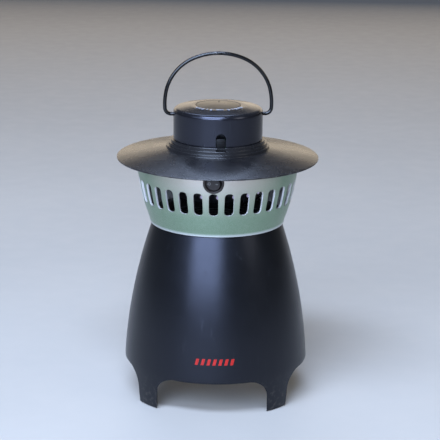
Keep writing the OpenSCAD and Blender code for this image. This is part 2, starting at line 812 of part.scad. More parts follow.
// A round tube whose rings of points are given one after another
module tube(verts, sides) {
    rings = len(verts) / sides;
    walls = [for (i = [0:rings - 2], k = [0:sides - 1])
        let (a = i * sides + k, b = i * sides + (k + 1) % sides)
        each [[a, a + sides, b], [b, a + sides, b + sides]]];
    ends = [[for (k = [0:sides - 1]) k], [for (k = [sides - 1:-1:0]) (rings - 1) * sides + k]];
    polyhedron(verts, concat(walls, ends));
}

module bail_handle() {
    sides = 16;
    r = wire_d / 2 - 0.02;
    color("#17181b") rotate([0, 0, cap_turn]) translate([0, 0, pivot_z]) {
        tube([for (p = whole_bow(), k = [0:sides - 1])
            let (c = r * cos(360 * k / sides), s = r * sin(360 * k / sides))
            [p[0] - s * sin(p[2]), c, p[1] + s * cos(p[2])]], sides);
        for (s = [-1, 1]) rotate([0, s * 90, 0]) translate([0, 0, pin_inner])
            cylinder(h = pin_outer - pin_inner, r = wire_d / 2);
    }
}

// ---------------------------------------------------------------- internal leads

// Points of a smooth curve through a route, with a few between each two of its points
function blend(a, b, c, d, t) = 0.5 * (2 * b + t * (c - a) + t * t * (2 * a - 5 * b + 4 * c - d)
    + t * t * t * (3 * b - a - 3 * c + d));
function smooth(route) = let (n = len(route) - 1) concat(
    [for (i = [0:n - 1], t = [0, 1 / 3, 2 / 3])
        blend(route[max(i - 1, 0)], route[i], route[i + 1], route[min(i + 2, n)], t)], [route[n]]);
function unit(v) = v / norm(v);
function heading(pts, i) = unit(pts[min(i + 1, len(pts) - 1)] - pts[max(i - 1, 0)]);
function side_of(dir) = unit(cross(dir, abs(dir[0]) < 0.8 ? [1, 0, 0] : [0, 1, 0]));

module lead(route, r) {
    sides = 8;
    pts = smooth(route);
    tube([for (i = [0:len(pts) - 1]) let (d = heading(pts, i), u = side_of(d), v = cross(d, u))
        for (k = [0:sides - 1]) pts[i] + r * (cos(360 * k / sides) * u + sin(360 * k / sides) * v)], sides);
}

module inlet_lead() {
    color("#111111") lead([[0, 78.5, 266], [0, 74, 266], [0, 68, 268], [0, 62, 272], [0, 56.5, 275]], 1.3);
}

module switch_lead() {
    color("#a33333") lead([[-5, -71.5, 263], [-5, -68, 263], [-5, -64, 265], [-5, -60, 268],
        [-5, -56.5, 270]], 1.1);
}

module lamp_lead() {
    color("#3355aa") lead([[20, 38, 244], [24, 34, 252], [26, 26, 262], [28, 18, 272], [28, 12, 279]], 1.1);
}

module fan_lead() {
    color("#222222") lead([[14.5, 0, 158], [20, 0, 157], [34, 0, 156], [50, 0, 155]], 1.1);
}

lower_housing();
foot_pads();
outlet_grille();
grille_screws();
slotted_collar();
fan_duct();
duct_screws();
fan_guard();
fan_motor();
motor_shaft();
fan_impeller();
basket_ring();
basket_base();
basket_frame();
basket_mesh();
lamp_housing();
lamp_cover();
lamp_screws();
led_board();
uv_leds();
switch_body();
switch_rocker();
inlet_jack();
jack_nut();
rain_hat();
hat_screws();
latch_tongue();
latch_pin();
driver_board();
cap_shell();
handle_bushes();
bail_handle();
cartridge_cup();
scent_cartridge();
lid_seal();
scent_lid();
inlet_lead();
switch_lead();
lamp_lead();
fan_lead();
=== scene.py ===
import json
from math import acos, asin, atan, atan2, cos, degrees, hypot, pi, radians, sin, sqrt, tan

import bmesh
import bpy
from mathutils import Matrix, Vector


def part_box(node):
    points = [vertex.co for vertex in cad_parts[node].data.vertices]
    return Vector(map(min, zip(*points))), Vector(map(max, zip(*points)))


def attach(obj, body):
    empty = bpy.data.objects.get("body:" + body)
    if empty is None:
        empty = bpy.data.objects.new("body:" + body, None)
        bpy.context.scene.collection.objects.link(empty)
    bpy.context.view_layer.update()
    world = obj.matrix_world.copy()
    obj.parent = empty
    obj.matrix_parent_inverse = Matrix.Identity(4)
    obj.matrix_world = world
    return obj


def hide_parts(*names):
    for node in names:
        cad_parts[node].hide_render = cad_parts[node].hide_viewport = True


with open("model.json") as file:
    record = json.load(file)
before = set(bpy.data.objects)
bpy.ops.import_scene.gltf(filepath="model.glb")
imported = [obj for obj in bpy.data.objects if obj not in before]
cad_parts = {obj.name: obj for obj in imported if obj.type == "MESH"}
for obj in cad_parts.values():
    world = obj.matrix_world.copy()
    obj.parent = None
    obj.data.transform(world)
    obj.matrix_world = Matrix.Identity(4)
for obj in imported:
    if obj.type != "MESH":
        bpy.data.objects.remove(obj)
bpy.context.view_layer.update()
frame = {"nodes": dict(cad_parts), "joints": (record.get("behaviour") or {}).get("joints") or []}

# Looks of the insect trap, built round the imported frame. Shapes are written in millimetres, with
# angles in degrees from the front (-Y) towards +X, and become metres when a mesh is made.
MM = 0.001
SHARP_ANGLE = 32
WELD_GAP = 0.001 * MM


def low(node):
    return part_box(node)[0] / MM


def high(node):
    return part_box(node)[1] / MM


def hinge(name):
    """Where a joint's axis passes."""
    joint = next(j for j in frame["joints"] if j["name"] == name)
    return Vector(joint["pos_m"]) / MM


# ---- sizes

# Housing
BELLY_R = high("lower_housing").x
BELLY_Z = 42
FOOT_TUCK = 2
LEG_EDGE = low("lower_housing").z
NECK_TOP = high("lower_housing").z
NECK_R = 72.8
HOUSING_WALL = 2.6
ARCH_HALF = 62
ARCH_TOP = 40
ARCH_CORNER = 20
POST_ANGLE = 8

# Collar
SEAM_Z = low("slotted_collar").z
COLLAR_TOP = high("slotted_collar").z
COLLAR_FOOT_R = 75.6
COLLAR_WALL = 2.5
FLANGE_IN = 66.9
FLANGE_Z = NECK_TOP + 0.2
SLOT_COUNT = 32
SLOT_W = 10.3
SLOT_H = 26
SLOT_Z = 240.7
SLOT_CORNER = 4.2
BOSS_RING = 84.6
BOSS_R = 5
BOSS_Z = 262
BOSS_GAP = 0.4
BOSS_TURNS = (45, 135, 225, 315)
POST_BORE_R = 1.6

# Hat, cap and lid
BRIM_R = high("rain_hat").x
BRIM_Z = low("rain_hat").z - 0.1
BRIM_T = 1.6
BRIM_SLOPE = 0.18
RING_R = (58, 55.5, 53)
RING_H = 3.4
DECK_Z = BRIM_Z + (BRIM_R - RING_R[0]) * BRIM_SLOPE
DECK_TOP = DECK_Z + BRIM_T
CAP_FOOT = DECK_TOP + 3 * RING_H
HAT_NECK_IN = 43.7
HAT_NECK_R = 46.2
MARK_H = 0.5
CAP_R = 50.3
CAP_TOP = high("cap_shell").z - MARK_H
CAP_WALL = 2.3
CAP_SHOULDER = 5
DOME_R = 31
DOME_TILT = 9.5
CAP_TURN = 6.5
WINDOW_W = 11.2
WINDOW_TOP = 311.5
LID_R = high("scent_lid").x
LID_TOP = high("scent_lid").z
LID_SEAT = CAP_TOP - 1.9
LID_UNDER = LID_SEAT - 2.3
LID_NECK_R = 20.5
LID_LUG_R = 23

# Latch
TONGUE_W = 10
TONGUE_ROOT = hinge("latch_press").z
TONGUE_TOP = high("latch_tongue").z
TONGUE_IN = 47.2
TONGUE_OUT = 49.4
TONGUE_MID = (TONGUE_IN + TONGUE_OUT) / 2
TONGUE_FOOT = RING_R[2] - 0.6
EYE_R = 1.7
EYE_BORE_R = 0.98
NOTCH_W = 10.8

# Bail
WIRE_R = 2.1
PIVOT_Z = hinge("handle_swing").z
PIVOT_BOSS_R = 5
PIVOT_BOSS_IN = 43
BUSH_R = 3.4
PIN_INNER = 41.5
BENDS = ((7, 86.4), (73, 14), (52, 57), (72, 22.6))

# Switch and inlet
BEZEL_R = 11.5
BEZEL_H = 2.3
SWITCH_Z = 265.8
ROCKER_DEPTH = 4
ROCKER_REST = 9
ROCKER_BALL = 8.5
ROCKER_MARK_X = 4.2
ROCKER_MARK_TILT = 7
BARREL_R = 9.95
JACK_R = 4
JACK_RIM_R = 6

# Lamps
LAMP_R = 52
LAMP_SPLIT_Z = 234
LAMP_FLOOR_Z = 225.5
LAMP_ROW_Z = 240
LAMP_COUNT = 18
LAMP_OFFSET = 4
LED_R = 2.5
LED_BASE = 3.7

# Catch basket
BASKET_R = high("basket_mesh").x
NET_LOW = low("basket_mesh").z
NET_HIGH = high("basket_mesh").z


def housing_r(z):
    if z > BELLY_Z:
        return BELLY_R - 0.06 * (z - BELLY_Z) - 0.00088 * (z - BELLY_Z) ** 2
    return BELLY_R - FOOT_TUCK * ((BELLY_Z - z) / BELLY_Z) ** 2


def collar_r(z):
    return COLLAR_FOOT_R + 0.38 * (z - SEAM_Z) - 0.0022 * (z - SEAM_Z) ** 2


SWITCH_LEAN = degrees(atan(0.38 - 0.0044 * (SWITCH_Z - SEAM_Z)))
SEAT_Y = collar_r(SWITCH_Z) - 0.8
JACK_Y = collar_r(SWITCH_Z) - 0.9

# ---- mesh tools


def steps(start, end, count):
    return [start + (end - start) * i / count for i in range(count + 1)]


def polar(angle, r, z):
    a = radians(angle)
    return Vector((r * sin(a), -r * cos(a), z))


def turned_to(angle, axis="Z"):
    """A turn in degrees about one axis, the trap's own unless another is named."""
    return Matrix.Rotation(radians(angle), 4, axis)


def shifted(x, y, z):
    return Matrix.Translation((x, y, z))


def add_grid(bm, rows, finish=0, place=Matrix()):
    """Faces between rows of points that all have the same count."""
    grid = [[bm.verts.new(place @ Vector(p)) for p in row] for row in rows]
    for upper, lower in zip(grid, grid[1:]):
        for corners in zip(upper, upper[1:], lower[1:], lower):
            bm.faces.new(corners).material_index = finish


def add_turned(bm, outline, columns=144, finish=0, place=Matrix(), start=0, sweep=360):
    """A closed (radius, height) outline turned about Z."""
    angles = steps(start, start + sweep, columns)
    closed = list(outline) + [outline[0]]
    add_grid(bm, [[polar(a, r, z) for a in angles] for r, z in closed], finish, place)


def add_sector(bm, outline, start, sweep, columns=8):
    """Part of a turn of a closed (radius, height) outline, closed at both ends."""
    add_turned(bm, outline, columns, 0, Matrix(), start, sweep)
    for angle in (start, start + sweep):
        bm.faces.new([bm.verts.new(polar(angle, r, z)) for r, z in outline])


def add_slab(bm, outline, bottom, top, finish=0, place=Matrix()):
    """A flat (x, y) outline given thickness along Z."""
    floor = [bm.verts.new(place @ Vector((x, y, bottom))) for x, y in outline]
    roof = [bm.verts.new(place @ Vector((x, y, top))) for x, y in outline]
    bm.faces.new(floor[::-1]).material_index = finish
    bm.faces.new(roof).material_index = finish
    for i in range(len(outline)):
        j = (i + 1) % len(outline)
        bm.faces.new((floor[i], floor[j], roof[j], roof[i])).material_index = finish


def rounded(corners, per_arc=15):
    """The points of a closed outline given as (x, y, corner radius)."""
    points = []
    for i, (x, y, radius) in enumerate(corners):
        here = Vector((x, y))
        if radius == 0:
            points.append(here)
            continue
        before = (Vector(corners[i - 1][:2]) - here).normalized()
        after = (Vector(corners[(i + 1) % len(corners)][:2]) - here).normalized()
        half = acos(max(-1, min(1, before.dot(after)))) / 2
        centre = here + (before + after).normalized() * (radius / sin(half))
        first = here + before * (radius / tan(half)) - centre
        last = here + after * (radius / tan(half)) - centre
        start = atan2(first.y, first.x)
        sweep = (atan2(last.y, last.x) - start + pi) % (2 * pi) - pi
        for a in steps(start, start + sweep, max(2, round(abs(degrees(sweep)) / per_arc))):
            points.append(centre + radius * Vector((cos(a), sin(a))))
    return points


def plate(left, right, bottom, top, corner, per_arc=30):
    """The outline of a rectangle with rounded corners."""
    return rounded(((left, bottom, corner), (right, bottom, corner),
                    (right, top, corner), (left, top, corner)), per_arc)


def window_outline(w, h, corner, along, across):
    """(x, y) points round a rounded rectangle, with set counts along its sides and its ends."""
    arc = pi * corner / 4
    points = []
    for turn in range(4):
        upright = turn % 2 == 0
        reach = (w if upright else h) / 2
        straight = (h if upright else w) - 2 * corner
        count = along if upright else across
        for i in range(count):
            s = (straight + 2 * arc) * i / count
            if s < arc:
                a = s / corner - pi / 4
                x, y = reach - corner + corner * cos(a), corner * sin(a) - straight / 2
            elif s > straight + arc:
                a = (s - straight - arc) / corner
                x, y = reach - corner + corner * cos(a), corner * sin(a) + straight / 2
            else:
                x, y = reach, s - arc - straight / 2
            points.append(Matrix.Rotation(radians(90 * turn), 2) @ Vector((x, y)))
    return points


def mesh_object(name, bm, sharp=SHARP_ANGLE):
    """A mesh in metres from a bmesh in millimetres, smooth except at its edges."""
    bmesh.ops.remove_doubles(bm, verts=bm.verts, dist=0.004)
    bmesh.ops.dissolve_degenerate(bm, dist=0.001, edges=bm.edges)
    bmesh.ops.recalc_face_normals(bm, faces=bm.faces)
    bmesh.ops.scale(bm, vec=(MM, MM, MM), verts=bm.verts)
    mesh = bpy.data.meshes.new(name)
    bm.to_mesh(mesh)
    bm.free()
    smooth(mesh, sharp)
    obj = bpy.data.objects.new(name, mesh)
    bpy.context.scene.collection.objects.link(obj)
    return obj


def smooth(mesh, sharp=SHARP_ANGLE):
    mesh.polygons.foreach_set("use_smooth", [True] * len(mesh.polygons))
    mesh.set_sharp_from_angle(angle=radians(sharp))


def bake_modifiers(obj):
    """Puts the result of an object's modifiers into its own mesh."""
    graph = bpy.context.evaluated_depsgraph_get()
    made = bpy.data.meshes.new_from_object(obj.evaluated_get(graph))
    made.name = obj.name
    obj.modifiers.clear()
    obj.data = made


def cut(obj, *cutters):
    for cutter in cutters:
        modifier = obj.modifiers.new("cut", "BOOLEAN")
        modifier.operation = "DIFFERENCE"
        modifier.solver = "EXACT"
        modifier.object = cutter
    bake_modifiers(obj)
    for cutter in cutters:
        bpy.data.objects.remove(cutter)
    smooth(obj.data)


def stepped_bore(bore, seat, depth, reach=7):
    """Outline of a cutter for a bore and the wider seat that reaches out from its mouth."""
    return (0, -depth), (bore, -depth), (bore, 0), (seat, 0), (seat, reach), (0, reach)


def turned_cutter(outline, place):
    bm = bmesh.new()
    add_turned(bm, outline, 96, 0, place)
    return mesh_object("cutter", bm)


def slab_cutter(outline, bottom, top, place):
    bm = bmesh.new()
    add_slab(bm, outline, bottom, top, 0, place)
    return mesh_object("cutter", bm)


def add_bevel(obj, width, segments, angle):
    modifier = obj.modifiers.new("edges", "BEVEL")
    modifier.width = width * MM
    modifier.segments = segments
    modifier.limit_method = "ANGLE"
    modifier.angle_limit = radians(angle)


def bevel(obj, width, segments=2, angle=40):
    add_bevel(obj, width, segments, angle)
    bake_modifiers(obj)
    smooth(obj.data)
    return obj


def piece(obj, body, slot, materials, *nodes):
    """Finishes a piece: its materials, the body it rides on and the CAD nodes it stands for."""
    finishes = [face.material_index for face in obj.data.polygons]
    obj.data.materials.clear()
    for material in materials:
        obj.data.materials.append(material)
    obj.data.polygons.foreach_set("material_index", finishes)
    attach(obj, body)
    if nodes:
        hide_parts(*nodes)
    return obj


# ---- material tools


class Shader:
    """A node material, built a node at a time."""

    def __init__(self, name):
        self.material = bpy.data.materials.new(name)
        self.material.use_nodes = True
        self.tree = self.material.node_tree
        self.surface = self.tree.nodes["Principled BSDF"]
        self.place = self.add("ShaderNodeTexCoord").outputs["Object"]

    def add(self, kind, **values):
        node = self.tree.nodes.new(kind)
        for key, value in values.items():
            setattr(node, key, value)
        return node

    def link(self, output, target):
        self.tree.links.new(output, target)

    def fill(self, socket, value):
        """Sets a socket, or links a node's output to it."""
        if isinstance(value, bpy.types.NodeSocket):
            self.link(value, socket)
        else:
            socket.default_value = value

    def put(self, name, value):
        self.fill(self.surface.inputs[name], value)

    def noise(self, scale, detail=3, stretch=(1, 1, 1), distortion=0.0):
        """Noise between 0 and 1 over the object's own coordinates."""
        mapping = self.add("ShaderNodeMapping")
        mapping.inputs["Scale"].default_value = stretch
        self.link(self.place, mapping.inputs["Vector"])
        noise = self.add("ShaderNodeTexNoise")
        noise.inputs["Scale"].default_value = scale
        noise.inputs["Detail"].default_value = detail
        noise.inputs["Distortion"].default_value = distortion
        self.link(mapping.outputs["Vector"], noise.inputs["Vector"])
        return noise.outputs["Fac"]

    def remap(self, value, from_low, from_high, to_low=0.0, to_high=1.0):
        node = self.add("ShaderNodeMapRange")
        for key, number in (("From Min", from_low), ("From Max", from_high),
                            ("To Min", to_low), ("To Max", to_high)):
            node.inputs[key].default_value = number
        self.link(value, node.inputs["Value"])
        return node.outputs["Result"]

    def math(self, operation, first, second):
        node = self.add("ShaderNodeMath", operation=operation)
        self.fill(node.inputs[0], first)
        self.fill(node.inputs[1], second)
        return node.outputs[0]

    def times(self, first, second):
        return self.math("MULTIPLY", first, second)

    def mix(self, factor, first, second):
        """A colour between two colours or colour outputs."""
        node = self.add("ShaderNodeMix", data_type="RGBA")
        self.link(factor, node.inputs["Factor"])
        for socket, value in ((node.inputs[6], first), (node.inputs[7], second)):
            self.fill(socket, value if isinstance(value, bpy.types.NodeSocket) else (*value, 1))
        return node.outputs[2]

    def paint_over(self, mask, share, colour):
        """Lays a share of a colour over the base colour where the mask is high."""
        base = self.surface.inputs["Base Color"].links[0].from_socket
        self.put("Base Color", self.mix(self.times(mask, share), base, colour))

    def along(self, vector, axis):
        """One axis of a vector output."""
        split = self.add("ShaderNodeSeparateXYZ")
        self.link(vector, split.inputs["Vector"])
        return split.outputs[axis]

    def height(self):
        return self.along(self.place, 2)

    def radius(self):
        """Distance from the trap's axis."""
        flat = self.add("ShaderNodeVectorMath", operation="MULTIPLY")
        flat.inputs[1].default_value = (1, 1, 0)
        self.link(self.place, flat.inputs[0])
        length = self.add("ShaderNodeVectorMath", operation="LENGTH")
        self.link(flat.outputs[0], length.inputs[0])
        return length.outputs["Value"]

    def facing(self, axis):
        """How far the surface faces along one axis of the world."""
        return self.along(self.add("ShaderNodeNewGeometry").outputs["Normal"], axis)

    def bump(self, heights):
        """Bump from (height output, strength, depth in mm) rows."""
        normal = None
        for height, strength, depth in heights:
            node = self.add("ShaderNodeBump")
            node.inputs["Strength"].default_value = strength
            node.inputs["Distance"].default_value = depth * MM
            self.link(height, node.inputs["Height"])
            if normal:
                self.link(normal, node.inputs["Normal"])
            normal = node.outputs["Normal"]
        self.put("Normal", normal)


def shade(colour, factor):
    return tuple(channel * factor for channel in colour)


def moulded(name, colour, rough, grain=0.25, dust=0.0, scuff=0.12, coat=0.0, specular=0.5,
            tint=(1, 1, 1)):
    """Moulded plastic: cloudy colour, fine grain, faint scratches, rubbed patches and settled dust."""
    s = Shader(name)
    cloud = s.remap(s.noise(22, 4), 0.3, 0.7)
    base = s.mix(cloud, shade(colour, 0.88), shade(colour, 1.14))
    scratches = s.remap(s.noise(260, 2, (1, 1, 0.06), 0.4), 0.66, 0.74)
    marked = s.mix(s.times(scratches, scuff), base, (0.22, 0.22, 0.22))
    if dust:
        settled = s.times(s.remap(s.facing(2), 0.5, 1), s.remap(s.noise(75, 5), 0.42, 0.75))
        marked = s.mix(s.times(settled, dust), marked, (0.30, 0.28, 0.25))
    s.put("Base Color", marked)
    rubbed = s.remap(s.noise(48, 5), 0.25, 0.75, rough * 0.91, rough * 1.10)
    s.put("Roughness", s.math("ADD", rubbed, s.times(scratches, 0.10)))
    s.put("Coat Weight", coat)
    s.put("Coat Roughness", rough * 0.5)
    s.put("Specular IOR Level", specular)
    s.put("Specular Tint", (*tint, 1))
    s.bump(((s.noise(1500, 2), grain, 0.05), (s.noise(30, 2), 0.08, 0.25)))
    return s


def plastic(*values, **options):
    """The material alone of a plain moulded plastic."""
    return moulded(*values, **options).material


def metal(name, colour, rough, stretch=(1, 1, 1)):
    """Bare metal: brushed or turned grain with dull patches."""
    s = Shader(name)
    patches = s.remap(s.noise(90, 4), 0.35, 0.7)
    s.put("Base Color", s.mix(patches, shade(colour, 0.82), shade(colour, 1.06)))
    s.put("Metallic", 1.0)
    s.put("Roughness", s.remap(s.noise(900, 3, stretch), 0.2, 0.8, rough * 0.75, rough * 1.3))
    s.bump(((s.noise(1400, 2, stretch), 0.15, 0.03),))
    return s.material


def collar_paint():
    """Metallic sage paint: fine flakes, a clear coat, a painted highlight of paler silver high on the
    front, and a painted highlight along the lip.
    """
    s = Shader("sage_metallic_paint")
    flakes = s.remap(s.noise(2600, 1), 0.35, 0.68)
    clouds = s.remap(s.noise(16, 3), 0.3, 0.7)
    sage = s.mix(clouds, (0.168, 0.268, 0.168), (0.190, 0.298, 0.190))
    # Painted highlight: paler silver mixed into the sage high on the collar, where it faces the front
    # (-Y).
    painted_highlight_silver = s.mix(clouds, (0.560, 0.490, 0.430), (0.610, 0.530, 0.470))
    upper = s.remap(s.height(), 0.222, 0.270)
    front = s.remap(s.facing(1), -0.55, -0.96, 0.05, 1.0)
    with_painted_highlight = s.mix(s.times(upper, front), sage, painted_highlight_silver)
    sparkle = s.mix(s.times(flakes, 0.30), with_painted_highlight, (0.60, 0.66, 0.62))
    scratches = s.remap(s.noise(210, 2, (1, 1, 0.08), 0.3), 0.68, 0.75)
    worn = s.mix(s.times(scratches, 0.12), sparkle, (0.16, 0.19, 0.17))
    # Painted highlight: the rolled lip at the collar's foot is painted near-white.
    lip = s.remap(s.height(), 0.2050, 0.2018)
    s.put("Base Color", s.mix(s.times(lip, 0.9), worn, (0.72, 0.75, 0.76)))
    s.put("Metallic", 0.90)
    s.put("Roughness", s.remap(s.noise(60, 5), 0.25, 0.75, 0.31, 0.40))
    s.put("Coat Weight", 0.10)
    s.put("Coat Roughness", 0.20)
    s.bump(((s.noise(2200, 2), 0.22, 0.03), (s.noise(26, 2), 0.06, 0.3)))
    return s.material


COOL_SHEEN = (0.76, 0.80, 1.0)


def hat_plastic():
    """The hat's satin plastic, with dust on top and a rim rubbed by handling."""
    s = moulded("hat_satin_black", (0.0078, 0.0076, 0.0086), 0.27, grain=0.15, dust=0.03,
                scuff=0.02, specular=0.50)
    rim = s.times(s.remap(s.radius(), 0.1126, 0.114), s.remap(s.noise(110, 4), 0.45, 0.75))
    s.paint_over(rim, 0.5, (0.10, 0.098, 0.095))
    return s.material


def housing_plastic():
    """The housing's satin plastic, with dried splashes near the ground."""
    s = moulded("housing_satin_black", (0.0032, 0.0034, 0.0038), 0.31, grain=0.32, scuff=0.02,
                specular=0.40, tint=COOL_SHEEN)
    near_ground = s.remap(s.height(), 0.002, 0.045, 1, 0)
    splashes = s.times(near_ground, s.remap(s.noise(210, 5), 0.52, 0.70))
    s.paint_over(splashes, 0.35, (0.12, 0.105, 0.085))
    return s.material


def bail_enamel():
    """Gloss black enamel on wire, worn where it hangs."""
    s = moulded("bail_gloss_enamel", (0.0022, 0.0022, 0.0025), 0.17, grain=0.05, scuff=0.04, coat=0.2,
                specular=0.30)
    crown = s.times(s.remap(s.height(), 0.386, 0.3925), s.remap(s.noise(240, 4), 0.5, 0.66))
    s.paint_over(crown, 0.4, (0.12, 0.115, 0.11))
    return s.material


def lens_plastic():
    """Clear lamp domes, faintly violet, with moulding haze."""
    s = Shader("lamp_lens")
    haze = s.remap(s.noise(700, 3), 0.35, 0.7)
    s.put("Base Color", s.mix(haze, (0.50, 0.46, 0.72), (0.66, 0.64, 0.78)))
    s.put("Roughness", s.remap(haze, 0, 1, 0.04, 0.16))
    s.put("Transmission Weight", 0.55)
    s.put("IOR", 1.5)
    s.put("Coat Weight", 0.6)
    s.put("Coat Roughness", 0.03)
    s.put("Emission Color", (0.72, 0.68, 1.0, 1))
    s.put("Emission Strength", 0.35)
    s.bump(((s.noise(900, 2), 0.08, 0.04),))
    return s.material


def circuit_board():
    """Green solder mask over copper tracks."""
    s = Shader("circuit_board")
    brick = s.add("ShaderNodeTexBrick")
    brick.inputs["Scale"].default_value = 190
    brick.inputs["Mortar Size"].default_value = 0.06
    s.link(s.place, brick.inputs["Vector"])
    tracks = s.remap(brick.outputs["Fac"], 0, 1)
    mask = s.mix(s.remap(s.noise(60, 3), 0.3, 0.7), (0.010, 0.085, 0.030), (0.014, 0.115, 0.042))
    s.put("Base Color", s.mix(s.times(tracks, 0.6), mask, (0.05, 0.23, 0.09)))
    s.put("Roughness", s.remap(s.noise(400, 2), 0.3, 0.7, 0.24, 0.38))
    s.bump(((tracks, 0.3, 0.04),))
    return s.material


def woven(name, colour):
    """Fine woven thread."""
    s = Shader(name)
    lines = s.add("ShaderNodeTexWave", wave_type="BANDS", bands_direction="Z")
    lines.inputs["Scale"].default_value = 1100
    s.link(s.place, lines.inputs["Vector"])
    fuzz = s.remap(s.noise(500, 4), 0.3, 0.7)
    s.put("Base Color", s.mix(fuzz, shade(colour, 0.75), shade(colour, 1.15)))
    s.put("Roughness", s.remap(fuzz, 0, 1, 0.7, 0.92))
    s.bump(((lines.outputs["Fac"], 0.5, 0.06),))
    return s.material


HOUSING = housing_plastic()
HAT = hat_plastic()
CAP = plastic("cap_satin_black", (0.0056, 0.0056, 0.0070), 0.22, grain=0.15, dust=0.05, scuff=0.03,
              specular=0.54, tint=COOL_SHEEN)
LID = plastic("lid_satin_black", (0.0050, 0.0048, 0.0048), 0.30, grain=0.12, dust=0.05, scuff=0.03,
              specular=0.34)
LATCH = plastic("latch_black", (0.0034, 0.0034, 0.0038), 0.36, grain=0.2, specular=0.26)
# Painted highlight: the cap's marks are its own black plastic, coloured light grey to stand for their
# glints.
MARK_GLINT_GREY = plastic("mark_gloss_grey", (0.20, 0.22, 0.26), 0.16, grain=0.05)
COLLAR = collar_paint()
COLLAR_INSIDE = plastic("collar_inside_grey", (0.56, 0.55, 0.53), 0.46, grain=0.35)
INNER = plastic("inner_black", (0.008, 0.008, 0.009), 0.42, grain=0.35, dust=0.06, specular=0.4)
LAMP_UNIT = plastic("lamp_unit_black", (0.005, 0.005, 0.006), 0.17, grain=0.2, specular=0.6)
FRAME_PLASTIC = plastic("basket_plastic", (0.012, 0.013, 0.015), 0.45, grain=0.35)
RUBBER = plastic("rubber", (0.018, 0.018, 0.018), 0.75, grain=0.6, dust=0.25, specular=0.3)
BEZEL = plastic("switch_brown_grey", (0.028, 0.022, 0.019), 0.38, grain=0.2, specular=0.35)
ROCKER = plastic("rocker_brown_grey", (0.022, 0.018, 0.017), 0.36, grain=0.15, specular=0.35)
SWITCH_MARK = plastic("switch_mark_grey", (0.17, 0.165, 0.16), 0.45, grain=0.2)
RED_PRINT = plastic("red_print", (0.33, 0.011, 0.008), 0.42, grain=0.3, specular=0.3)
NYLON = plastic("nylon", (0.62, 0.59, 0.50), 0.38, grain=0.2)
SCENT = plastic("scent_block", (0.74, 0.68, 0.52), 0.55, grain=0.6)
BAIL = bail_enamel()
LENS = lens_plastic()
BOARD = circuit_board()
NET = woven("basket_net", (0.20, 0.21, 0.22))
STEEL = metal("screw_steel", (0.60, 0.60, 0.61), 0.30)
MOTOR_CAN = metal("motor_can", (0.52, 0.53, 0.54), 0.34, (1, 1, 0.1))
LEAD_BLACK = plastic("lead_black", (0.014, 0.014, 0.014), 0.42, grain=0.2)
LEAD_RED = plastic("lead_red", (0.40, 0.022, 0.018), 0.42, grain=0.2)
LEAD_BLUE = plastic("lead_blue", (0.030, 0.075, 0.36), 0.42, grain=0.2)

# ---- housing


def arch_x(z):
    """Half the width of an arch at a height."""
    rise = z - (ARCH_TOP - ARCH_CORNER)
    if rise <= 0:
        return ARCH_HALF
    return ARCH_HALF - ARCH_CORNER + sqrt(max(0, ARCH_CORNER ** 2 - rise ** 2))


def leg_heights():
    bend = [ARCH_TOP - ARCH_CORNER * (1 - cos(radians(a))) for a in steps(0, 90, 12)]
    return bend + steps(ARCH_TOP - ARCH_CORNER, LEG_EDGE, 8)[1:]


def arch_edge(z, inset):
    """The angle from an arch's middle to its edge, at a height on one skin."""
    return degrees(asin(arch_x(z) / (housing_r(z) - inset)))


def skin_row(quarter, z, inset, first, last, count=24):
    r = housing_r(z) - inset
    return [polar(quarter * 90 + a, r, z) for a in steps(first, last, count)]


def leg_row(quarter, z, inset):
    """Points from one arch to the next at a height, across a leg or the wall that goes on above it."""
    edge = arch_edge(min(z, ARCH_TOP), inset)
    return skin_row(quarter, z, inset, edge, 90 - edge)


def arch_row(quarter, z, inset):
    """Points across the width of one arch's top, at a height."""
    edge = arch_edge(ARCH_TOP, inset)
    return skin_row(quarter, z, inset, -edge, edge, 22)


def skin_ring(z, inset):
    """The points of the arches' and the legs' columns all round at a height."""
    ring = []
    for quarter in range(4):
        ring += arch_row(quarter, z, inset)[:-1] + leg_row(quarter, z, inset)[:-1]
    return ring + ring[:1]


def lower_housing():
    """The bell-shaped housing: two skins, four arches, and the neck that the collar sits on."""
    bm = bmesh.new()
    shoulder = SEAM_Z - 1
    upper = steps(ARCH_TOP, shoulder, 36)
    skins = (0, HOUSING_WALL)
    for inset in skins:
        for quarter in range(4):
            add_grid(bm, [leg_row(quarter, z, inset) for z in leg_heights()])
            add_grid(bm, [arch_row(quarter, z, inset) for z in upper])
            add_grid(bm, [leg_row(quarter, z, inset) for z in upper])
    for quarter in range(4):
        add_grid(bm, [arch_row(quarter, ARCH_TOP, inset) for inset in skins])
        add_grid(bm, [leg_row(quarter, LEG_EDGE, inset) for inset in skins])
        for side in (0, -1):
            add_grid(bm, [[leg_row(quarter, z, inset)[side] for z in leg_heights()] for inset in skins])
    outer_ring = skin_ring(shoulder, 0)
    turns = [degrees(atan2(p.x, -p.y)) for p in outer_ring]
    neck = ((housing_r(shoulder) - 0.8, shoulder + 0.5), (NECK_R, shoulder + 0.6), (NECK_R, NECK_TOP),
            (NECK_R - HOUSING_WALL, NECK_TOP))
    neck_rows = [[polar(a, r, z) for a in turns] for r, z in neck]
    add_grid(bm, [outer_ring] + neck_rows + [skin_ring(shoulder, HOUSING_WALL)])
    for quarter in range(4):
        add_leg_post(bm, quarter)
    obj = mesh_object("housing_shell", bm)
    bevel(obj, 0.45, 3)
    piece(obj, "housing", "housing_black", [HOUSING], "lower_housing")


